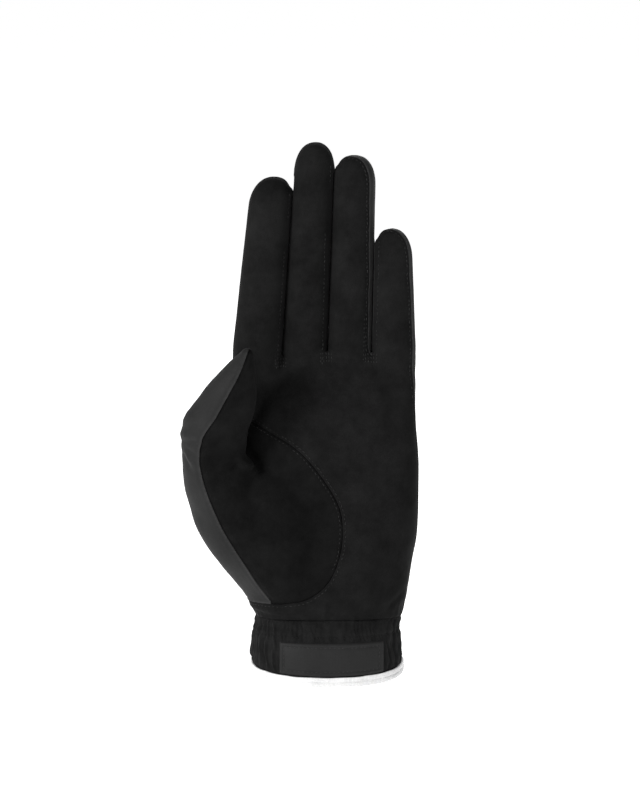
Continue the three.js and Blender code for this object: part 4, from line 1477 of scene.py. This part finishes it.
def cuff_front(level):
    """x and y along the front half of the cuff's ring at a height, kept for the next time."""
    key = round(float(level), 2)
    if key not in cuff_fronts:
        angle = np.linspace(np.pi, 2 * np.pi, 721)[1:-1]
        ring = cuff_ring(np.full(len(angle), level), angle)
        cuff_fronts[key] = (ring[:, 0], ring[:, 1])
    return cuff_fronts[key]


def front_at(x, z):
    """The front of the cuff behind the label at x and z, and the direction that it faces."""
    y = np.empty_like(x)
    for index in np.ndindex(x.shape):
        y[index] = np.interp(x[index], *cuff_front(np.clip(z[index], 0, CUFF_HEIGHT)))
    slope = np.gradient(y, axis=1) / np.maximum(np.gradient(x, axis=1), 1e-9)
    normal = np.stack([slope, -np.ones_like(x), np.zeros_like(x)], axis=-1)
    return y, normal / np.linalg.norm(normal, axis=-1)[..., None]


def build_label(settings):
    """The bare label with its raised border, and the places for the stitches round it."""
    rows, columns = LABEL_ROWS, LABEL_COLUMNS
    half = LABEL_WIDTH / 2
    share_x, share_z = np.meshgrid(np.linspace(0, 1, columns), np.linspace(0, 1, rows))
    x = LABEL_OFFSET + half * (2 * share_x - 1)
    top = CUFF_HEIGHT * LABEL_TOP_AT + 0.25 * (2 * share_x - 1) ** 2
    y_rim, _ = front_at(x, np.zeros_like(x))
    foot = rim_level(y_rim) + BINDING_HEIGHT + 2 * CUFF_CLEARANCE
    z = foot + share_z * (top - foot)
    y, normal = front_at(x, np.maximum(z, 0))
    from_end = half - np.abs(x - LABEL_OFFSET)
    inset = np.minimum(from_end, np.minimum(z - foot, top - z))
    rounded = 0.42 * (1 - bell(inset, 0.35))
    border = 0.14 * bell(inset - 0.9, 0.5) - 0.2 * bell(inset - LABEL_STITCH_INSET, 0.4)
    proud = LABEL_PROUD + rounded + border
    centre = np.stack([x, y, z], axis=-1)
    outer = centre + normal * proud[..., None]
    inner = centre + normal * LABEL_BASE
    points = np.concatenate([outer.reshape(-1, 3), inner.reshape(-1, 3)])
    count = rows * columns
    front = grid_faces(rows, columns, False)
    faces = front + grid_faces(rows, columns, False, count, True)
    edge = [(0, i) for i in range(columns)] + [(j, columns - 1) for j in range(1, rows)]
    edge += [(rows - 1, i) for i in range(columns - 2, -1, -1)] + [(j, 0) for j in range(rows - 2, 0, -1)]
    loop = [j * columns + i for j, i in edge]
    for a, b in zip(loop, loop[1:] + loop[:1]):
        faces.append((b, a, a + count, b + count))
    piece = mesh_object("cuff_label_patch", points, faces)
    finish_piece(piece, "cuff_label", cloth_finish("label_patch"))
    flat = outer.reshape(-1, 3)
    level = (inset - LABEL_STITCH_INSET).ravel()
    chains = level_lines(flat, triangles_of(front), level, settings.stitch_pitch / MM)
    seam_rows["cuff_label"] = stitch_places(chains, flat, normal.reshape(-1, 3))


def build_binding(settings):
    """The tape folded over the rim, slightly uneven along its length."""
    sides = BINDING_SIDES
    angle = around(sides)
    ring = cuff_ring(np.zeros(sides), angle)
    normal = ring_normals(ring)
    section = np.array(TAPE_SECTION)
    loop = np.concatenate([section, section[:1]])
    keys = np.arange(len(loop), dtype=float)[:, None]
    section = through(np.hstack([keys, loop]), np.linspace(0, len(loop) - 1, 3 * len(loop) - 2)[:-1])
    rings = []
    for index in range(sides):
        waver = 0.1 * math.sin(9 * angle[index] + 1.0) + 0.07 * math.sin(31 * angle[index])
        out = section[:, 0] + waver * (section[:, 1] > 0.5)
        place = ring[index] + normal[index] * out[:, None]
        place[:, 2] = rim_level(ring[index, 1]) + section[:, 1] + 0.06 * math.sin(17 * angle[index])
        rings.append(place)
    rings = np.array(rings)
    count = rings.shape[1]
    faces = []
    for a in range(sides):
        b = (a + 1) % sides
        for i in range(count):
            j = (i + 1) % count
            faces.append((a * count + i, a * count + j, b * count + j, b * count + i))
    piece = mesh_object("rim_binding_tape", rings.reshape(-1, 3), faces)
    finish_piece(piece, "cuff_binding", cloth_finish("white_tape"))


# Thread


def stitch_shape():
    """One stitch of thread along X, lying in the XY plane, for a length of 1."""
    points = []
    sides = 6
    for along, thick in STITCH_SECTION:
        for side in range(sides):
            turn = 2 * math.pi * side / sides
            points.append((along, math.cos(turn) * thick, math.sin(turn) * thick - 0.6 * along * along))
    faces = []
    last = len(STITCH_SECTION) - 1
    for row in range(last):
        for side in range(sides):
            following = (side + 1) % sides
            low, high = row * sides, (row + 1) * sides
            faces.append((low + side, high + side, high + following, low + following))
    faces.append(tuple(range(sides)))
    faces.append(tuple(range(last * sides, (last + 1) * sides))[::-1])
    return points, faces


def stitch_tree(name):
    """Geometry nodes that lay one stitch on each point, turned along the row and facing outward."""
    tree = bpy.data.node_groups.new(name, "GeometryNodeTree")
    inputs = (("Places", "Geometry"), ("Stitch", "Object"), ("Length", "Float"), ("Thickness", "Float"),
              ("Thread", "Material"))
    for label, kind in inputs:
        tree.interface.new_socket(label, in_out="INPUT", socket_type="NodeSocket" + kind)
    tree.interface.new_socket("Stitches", in_out="OUTPUT", socket_type="NodeSocketGeometry")
    nodes, links = tree.nodes, tree.links
    start = nodes.new("NodeGroupInput")
    end = nodes.new("NodeGroupOutput")
    source = nodes.new("GeometryNodeObjectInfo")
    links.new(start.outputs["Stitch"], source.inputs["Object"])
    directions = []
    for attribute, axis in (("along", "X"), ("outward", "Z")):
        value = nodes.new("GeometryNodeInputNamedAttribute")
        value.data_type = "FLOAT_VECTOR"
        value.inputs["Name"].default_value = attribute
        turn = nodes.new("FunctionNodeAlignRotationToVector")
        turn.axis = axis
        links.new(value.outputs["Attribute"], turn.inputs["Vector"])
        directions.append(turn)
    directions[1].pivot_axis = "X"
    links.new(directions[0].outputs["Rotation"], directions[1].inputs["Rotation"])
    size = nodes.new("ShaderNodeCombineXYZ")
    links.new(start.outputs["Length"], size.inputs["X"])
    links.new(start.outputs["Thickness"], size.inputs["Y"])
    links.new(start.outputs["Thickness"], size.inputs["Z"])
    uneven = nodes.new("FunctionNodeRandomValue")
    uneven.data_type = "FLOAT"
    for label, value in zip(("Min", "Max"), STITCH_SIZES):
        uneven.inputs[label].default_value = value
    uneven.inputs["Seed"].default_value = 4
    uneven_size = nodes.new("ShaderNodeVectorMath")
    uneven_size.operation = "SCALE"
    links.new(size.outputs["Vector"], uneven_size.inputs[0])
    links.new(uneven.outputs["Value"], uneven_size.inputs["Scale"])
    laid = nodes.new("GeometryNodeInstanceOnPoints")
    links.new(start.outputs["Places"], laid.inputs["Points"])
    links.new(source.outputs["Geometry"], laid.inputs["Instance"])
    links.new(directions[1].outputs["Rotation"], laid.inputs["Rotation"])
    links.new(uneven_size.outputs["Vector"], laid.inputs["Scale"])
    real = nodes.new("GeometryNodeRealizeInstances")
    links.new(laid.outputs["Instances"], real.inputs["Geometry"])
    coloured = nodes.new("GeometryNodeSetMaterial")
    links.new(real.outputs["Geometry"], coloured.inputs["Geometry"])
    links.new(start.outputs["Thread"], coloured.inputs["Material"])
    links.new(coloured.outputs["Geometry"], end.inputs["Stitches"])
    return tree


def stitched(name, rows, length, thickness, material):
    """A plain mesh with one stitch on each of the rows' places."""
    holder = mesh_object(name + "_places", rows[:, :3], [])
    for attribute, columns in (("along", slice(3, 6)), ("outward", slice(6, 9))):
        layer = holder.data.attributes.new(attribute, "FLOAT_VECTOR", "POINT")
        directions = np.ascontiguousarray(rows[:, columns], dtype=np.float32)
        layer.data.foreach_set("vector", directions.ravel())
    shape_points, shape_faces = stitch_shape()
    stitch = mesh_object(name + "_one", np.array(shape_points) / MM, shape_faces)
    tree = stitch_tree(name + "_nodes")
    modifier = holder.modifiers.new("stitches", "NODES")
    modifier.node_group = tree
    values = {"Stitch": stitch, "Length": length, "Thickness": thickness, "Thread": material}
    for item in tree.interface.items_tree:
        if item.in_out == "INPUT" and item.name in values:
            modifier[item.identifier] = values[item.name]
    graph = bpy.context.evaluated_depsgraph_get()
    mesh = bpy.data.meshes.new_from_object(holder.evaluated_get(graph))
    if not mesh.polygons:
        raise RuntimeError(f"No stitches were made for {name}")
    mesh.shade_smooth()
    piece = bpy.data.objects.new(name, mesh)
    bpy.context.scene.collection.objects.link(piece)
    bpy.data.objects.remove(holder)
    bpy.data.objects.remove(stitch)
    bpy.data.node_groups.remove(tree)
    return piece


def build_stitching(settings):
    """One piece of stitches for each node of STITCHED_NODES, each stitch a little out of line."""
    for node, (name, slot, thread) in STITCHED_NODES.items():
        if node not in seam_rows:
            raise RuntimeError(f"The piece for {node} has to be built before its stitching")
        rows = seam_rows[node].copy()
        chance = np.random.default_rng(STITCH_SEED)
        rows[:, :3] += rows[:, 6:9] * STITCH_LIFT + chance.normal(0.0, STITCH_STRAY, (len(rows), 3))
        rows[:, 3:6] += chance.normal(0.0, STITCH_TURN, (len(rows), 3))
        material = cloth_finish(thread)
        length = STITCH_SHARE * settings.stitch_pitch
        piece = stitched(name, rows, length, settings.thread_width / 2, material)
        finish_piece(piece, None, material)


# Materials


def colour(grey):
    return (grey, grey, grey, 1.0)


def shader_group(name, inputs, outputs):
    """A new node group with its sockets, and its input and output nodes."""
    tree = bpy.data.node_groups.new(name, "ShaderNodeTree")
    for label, kind, value in inputs:
        socket = tree.interface.new_socket(label, in_out="INPUT", socket_type=kind)
        socket.default_value = value
    for label, kind in outputs:
        tree.interface.new_socket(label, in_out="OUTPUT", socket_type=kind)
    return tree, tree.nodes.new("NodeGroupInput"), tree.nodes.new("NodeGroupOutput")


def noise(tree, vector, scale, detail, roughness=0.6):
    """Soft noise from 0 to 1 in a node tree."""
    node = tree.nodes.new("ShaderNodeTexNoise")
    tree.links.new(vector, node.inputs["Vector"])
    node.inputs["Scale"].default_value = scale
    node.inputs["Detail"].default_value = detail
    node.inputs["Roughness"].default_value = roughness
    return node.outputs["Fac"]


def math_node(tree, operation, first, second, third=None):
    """One operation on up to three sockets or numbers."""
    node = tree.nodes.new("ShaderNodeMath")
    node.operation = operation
    for socket, value in zip(node.inputs, (first, second, third)):
        if value is None:
            continue
        if isinstance(value, (int, float)):
            socket.default_value = value
        else:
            tree.links.new(value, socket)
    return node.outputs["Value"]


def remap(tree, value, low, high, to_low, to_high):
    """A value moved from one range to another."""
    node = tree.nodes.new("ShaderNodeMapRange")
    tree.links.new(value, node.inputs["Value"])
    for label, number in (("From Min", low), ("From Max", high), ("To Min", to_low), ("To Max", to_high)):
        node.inputs[label].default_value = number
    return node.outputs["Result"]


def scaled(tree, base, factor):
    """A colour made lighter or darker by a factor."""
    node = tree.nodes.new("ShaderNodeVectorMath")
    node.operation = "SCALE"
    tree.links.new(base, node.inputs[0])
    tree.links.new(factor, node.inputs["Scale"])
    return node.outputs["Vector"]


CLOTH_OUTPUTS = (
    ("Color", "NodeSocketColor"),
    ("Roughness", "NodeSocketFloat"),
    ("Height", "NodeSocketFloat"),
)


def nap_group():
    """Brushed cloth: soft mottling where the nap lies either way, and a fine fibre grain."""
    inputs = (("Base", "NodeSocketColor", colour(0.01)), ("Mottling", "NodeSocketFloat", 0.4))
    tree, start, end = shader_group("ClothNap", inputs, CLOTH_OUTPUTS)
    place = tree.nodes.new("ShaderNodeTexCoord").outputs["Object"]
    patches = noise(tree, place, 70.0, 5.0, 0.65)
    streaks = noise(tree, place, 330.0, 3.0)
    fibres = noise(tree, place, 2600.0, 2.0, 0.7)
    mixed = math_node(tree, "MULTIPLY_ADD", patches, 0.75, math_node(tree, "MULTIPLY", streaks, 0.25))
    lift = remap(tree, mixed, 0.36, 0.64, -1.0, 1.0)
    factor = math_node(tree, "MULTIPLY_ADD", lift, start.outputs["Mottling"], 1.0)
    grain = remap(tree, fibres, 0.3, 0.7, 0.7, 1.3)
    tree.links.new(
        scaled(tree, start.outputs["Base"], math_node(tree, "MULTIPLY", factor, grain)),
        end.inputs["Color"])
    tree.links.new(remap(tree, mixed, 0.35, 0.65, 0.95, 0.82), end.inputs["Roughness"])
    height = math_node(tree, "MULTIPLY_ADD", fibres, 0.6, math_node(tree, "MULTIPLY", streaks, 0.4))
    tree.links.new(height, end.inputs["Height"])
    return tree


def knit_group():
    """Fine knitted or woven cloth: two crossing sets of threads with a slight unevenness."""
    inputs = (("Base", "NodeSocketColor", colour(0.04)), ("Thread Scale", "NodeSocketFloat", 900.0))
    tree, start, end = shader_group("ClothKnit", inputs, CLOTH_OUTPUTS)
    place = tree.nodes.new("ShaderNodeTexCoord").outputs["Object"]
    waves = []
    for direction in ("X", "Z"):
        wave = tree.nodes.new("ShaderNodeTexWave")
        wave.bands_direction = direction
        tree.links.new(place, wave.inputs["Vector"])
        tree.links.new(start.outputs["Thread Scale"], wave.inputs["Scale"])
        wave.inputs["Distortion"].default_value = 0.6
        wave.inputs["Detail"].default_value = 1.0
        waves.append(wave.outputs["Fac"])
    weave = math_node(tree, "MULTIPLY", waves[0], waves[1])
    patches = noise(tree, place, 55.0, 4.0)
    specks = noise(tree, place, 1500.0, 2.0)
    shade = math_node(tree, "MULTIPLY", remap(tree, weave, 0.0, 1.0, 0.86, 1.12),
                      remap(tree, patches, 0.3, 0.7, 0.88, 1.12))
    shade = math_node(tree, "MULTIPLY", shade, remap(tree, specks, 0.3, 0.7, 0.9, 1.1))
    tree.links.new(scaled(tree, start.outputs["Base"], shade), end.inputs["Color"])
    tree.links.new(remap(tree, patches, 0.3, 0.7, 0.78, 0.66), end.inputs["Roughness"])
    tree.links.new(math_node(tree, "MULTIPLY_ADD", specks, 0.35, weave), end.inputs["Height"])
    return tree


def painted_seam_highlight(tree, base, highlight_amount):
    """A colour lightened by a painted highlight along the seams of the panels."""
    edge = tree.nodes.new("ShaderNodeAttribute")
    edge.attribute_name = "seam_highlight_mask"
    return scaled(tree, base, math_node(tree, "MULTIPLY_ADD", edge.outputs["Fac"], highlight_amount, 1.0))


# For each pattern: the name of its node group, the function that makes it and the name of its own value
PATTERNS = {
    "nap": ("ClothNap", nap_group, "Mottling"),
    "knit": ("ClothKnit", knit_group, "Thread Scale"),
}


def cloth_finish(name):
    """The cloth of FINISHES with this name, made once and fed by one of the shared groups."""
    material_name = name + "_finish"
    if material_name in bpy.data.materials:
        return bpy.data.materials[material_name]
    pattern, grey, own_value, sheen, bump_depth, specular, highlight_amount = FINISHES[name]
    group_name, build_group, own_label = PATTERNS[pattern]
    material = bpy.data.materials.new(material_name)
    material.use_nodes = True
    tree = material.node_tree
    surface = tree.nodes["Principled BSDF"]
    cloth = tree.nodes.new("ShaderNodeGroup")
    cloth.node_tree = bpy.data.node_groups.get(group_name) or build_group()
    cloth.inputs["Base"].default_value = colour(grey)
    cloth.inputs[own_label].default_value = own_value
    bump = tree.nodes.new("ShaderNodeBump")
    bump.inputs["Strength"].default_value = 1.0
    bump.inputs["Distance"].default_value = bump_depth * MM
    base = cloth.outputs["Color"]
    # Finishes with a highlight amount get a painted highlight along their seams
    if highlight_amount > 0:
        base = painted_seam_highlight(tree, base, highlight_amount)
    tree.links.new(base, surface.inputs["Base Color"])
    tree.links.new(cloth.outputs["Roughness"], surface.inputs["Roughness"])
    tree.links.new(cloth.outputs["Height"], bump.inputs["Height"])
    tree.links.new(bump.outputs["Normal"], surface.inputs["Normal"])
    surface.inputs["Specular IOR Level"].default_value = specular
    surface.inputs["Sheen Weight"].default_value = sheen
    surface.inputs["Sheen Roughness"].default_value = 0.45
    return material


# Stage


def plain_material(name, grey, glow):
    """An even matt finish that shines a little by itself."""
    material = bpy.data.materials.new(name)
    material.use_nodes = True
    surface = material.node_tree.nodes["Principled BSDF"]
    surface.inputs["Base Color"].default_value = colour(grey)
    surface.inputs["Roughness"].default_value = 0.9
    surface.inputs["Specular IOR Level"].default_value = 0.1
    surface.inputs["Emission Color"].default_value = colour(1.0)
    surface.inputs["Emission Strength"].default_value = glow
    return material


def area_light(name, place, size, power):
    """A rectangular light that faces LIGHT_TARGET."""
    light = bpy.data.lights.new(name, "AREA")
    light.shape = "RECTANGLE"
    light.size, light.size_y = size
    light.energy = power
    holder = bpy.data.objects.new(name, light)
    holder.location = place
    holder.rotation_euler = (Vector(LIGHT_TARGET) - Vector(place)).to_track_quat("-Z", "Y").to_euler()
    bpy.context.scene.collection.objects.link(holder)
    return holder


def white_surround(strength):
    """A white surround that the camera sees at full brightness and that lights the glove more softly."""
    world = bpy.data.worlds.new("soft_studio")
    world.use_nodes = True
    tree = world.node_tree
    lighting = tree.nodes["Background"]
    lighting.inputs["Color"].default_value = (1.0, 1.0, 1.0, 1.0)
    lighting.inputs["Strength"].default_value = strength
    seen = tree.nodes.new("ShaderNodeBackground")
    seen.inputs["Color"].default_value = (1.0, 1.0, 1.0, 1.0)
    mix = tree.nodes.new("ShaderNodeMixShader")
    tree.links.new(tree.nodes.new("ShaderNodeLightPath").outputs["Is Camera Ray"], mix.inputs["Fac"])
    tree.links.new(lighting.outputs["Background"], mix.inputs[1])
    tree.links.new(seen.outputs["Background"], mix.inputs[2])
    tree.links.new(mix.outputs["Shader"], tree.nodes["World Output"].inputs["Surface"])
    return world


def build_stage(settings):
    """The floor at the foot of the glove, the surround, the lights and the camera."""
    points = np.array([(-1, -1, 0), (1, -1, 0), (1, 1, 0), (-1, 1, 0)]) * FLOOR_HALF / MM
    points[:, 2] = frame_low()
    floor = mesh_object("stage_floor", points, [(0, 1, 2, 3)], smooth=False)
    floor.data.materials.append(plain_material("stage_pale", FLOOR_GREY, FLOOR_GLOW))
    scene = bpy.context.scene
    scene.world = white_surround(settings.surround_strength)
    scene.view_settings.view_transform = "Standard"
    factor = settings.light_strength
    lights = [area_light(name, place, size, power * factor) for name, place, size, power in LIGHTS]
    sine, cosine = math.sin(CAMERA_ELEVATION), math.cos(CAMERA_ELEVATION)
    right = np.array([1.0, 0.0, 0.0])
    forward = np.array([0.0, cosine, -sine])
    up = np.array([0.0, sine, cosine])
    target = right * PICTURE_CENTRE[0] + up * PICTURE_CENTRE[1] + forward * PICTURE_CENTRE[2]
    distance = PICTURE_HEIGHT * LENS / SENSOR
    data = bpy.data.cameras.new("camera")
    data.sensor_fit = "VERTICAL"
    data.sensor_height = SENSOR
    data.lens = LENS
    data.clip_end = 50.0
    camera = bpy.data.objects.new("camera", data)
    camera.location = (target - forward * distance) * MM
    camera.rotation_euler = (math.pi / 2 - CAMERA_ELEVATION, 0.0, 0.0)
    scene.collection.objects.link(camera)
    scene.camera = camera


def frame_low():
    """The lowest level of the solids, in millimetres."""
    return min(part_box(node)[0][2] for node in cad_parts) / MM


# Add-on


class GloveSettings(bpy.types.PropertyGroup):
    cloth_wall: bpy.props.FloatProperty(
        name="Cloth wall", description="Thickness of the sewn cloth panels",
        default=0.9 * MM, min=0.4 * MM, max=2.0 * MM, unit="LENGTH", precision=4)
    stitch_pitch: bpy.props.FloatProperty(
        name="Stitch pitch", description="Distance from one stitch to the next",
        default=1.9 * MM, min=1.2 * MM, max=5.0 * MM, unit="LENGTH", precision=4)
    thread_width: bpy.props.FloatProperty(
        name="Thread width", description="Thickness of the sewing thread",
        default=0.36 * MM, min=0.2 * MM, max=1.0 * MM, unit="LENGTH", precision=4)
    light_strength: bpy.props.FloatProperty(
        name="Light strength", description="Factor on the power of the studio lights",
        default=1.0, min=0.1, max=5.0, subtype="FACTOR")
    surround_strength: bpy.props.FloatProperty(
        name="Surround strength", description="Brightness of the white surround",
        default=0.3, min=0.0, max=5.0, subtype="FACTOR")


class PieceOperator:
    bl_options = {"REGISTER"}

    def execute(self, context):
        type(self).build(context.scene.glove_settings)
        return {"FINISHED"}


class GLOVE_OT_panels(PieceOperator, bpy.types.Operator):
    """Builds the sewn panels: palm, thumb, back and the strips between the fingers"""
    bl_idname = "glove.panels"
    bl_label = "Sewn panels"
    build = staticmethod(build_panels)


class GLOVE_OT_cuff(PieceOperator, bpy.types.Operator):
    """Builds the gathered cuff"""
    bl_idname = "glove.cuff"
    bl_label = "Gathered cuff"
    build = staticmethod(build_cuff)


class GLOVE_OT_label(PieceOperator, bpy.types.Operator):
    """Builds the bare label patch on the cuff"""
    bl_idname = "glove.label"
    bl_label = "Label patch"
    build = staticmethod(build_label)


class GLOVE_OT_binding(PieceOperator, bpy.types.Operator):
    """Builds the folded tape round the rim"""
    bl_idname = "glove.binding"
    bl_label = "Rim binding"
    build = staticmethod(build_binding)


class GLOVE_OT_stitching(PieceOperator, bpy.types.Operator):
    """Lays the stitches along the seams of the pieces that are already built"""
    bl_idname = "glove.stitching"
    bl_label = "Stitching"
    build = staticmethod(build_stitching)


class GLOVE_OT_stage(PieceOperator, bpy.types.Operator):
    """Builds the floor, lights and camera"""
    bl_idname = "glove.stage"
    bl_label = "Stage"
    build = staticmethod(build_stage)


OPERATORS = (
    GLOVE_OT_panels,
    GLOVE_OT_cuff,
    GLOVE_OT_label,
    GLOVE_OT_binding,
    GLOVE_OT_stitching,
    GLOVE_OT_stage,
)


class GLOVE_PT_sidebar(bpy.types.Panel):
    bl_label = "Glove"
    bl_idname = "GLOVE_PT_sidebar"
    bl_space_type = "VIEW_3D"
    bl_region_type = "UI"
    bl_category = "Glove"

    def draw(self, context):
        settings = context.scene.glove_settings
        for name in GloveSettings.__annotations__:
            self.layout.prop(settings, name)
        for operator in OPERATORS:
            self.layout.operator(operator.bl_idname)


CLASSES = (GloveSettings,) + OPERATORS + (GLOVE_PT_sidebar,)


def register():
    for each_class in CLASSES:
        bpy.utils.register_class(each_class)
    bpy.types.Scene.glove_settings = bpy.props.PointerProperty(type=GloveSettings)


def unregister():
    del bpy.types.Scene.glove_settings
    for each_class in reversed(CLASSES):
        bpy.utils.unregister_class(each_class)


def main():
    register()
    bpy.ops.glove.panels()
    bpy.ops.glove.cuff()
    bpy.ops.glove.label()
    bpy.ops.glove.binding()
    bpy.ops.glove.stitching()
    bpy.ops.glove.stage()


if __name__ == "__main__":
    main()
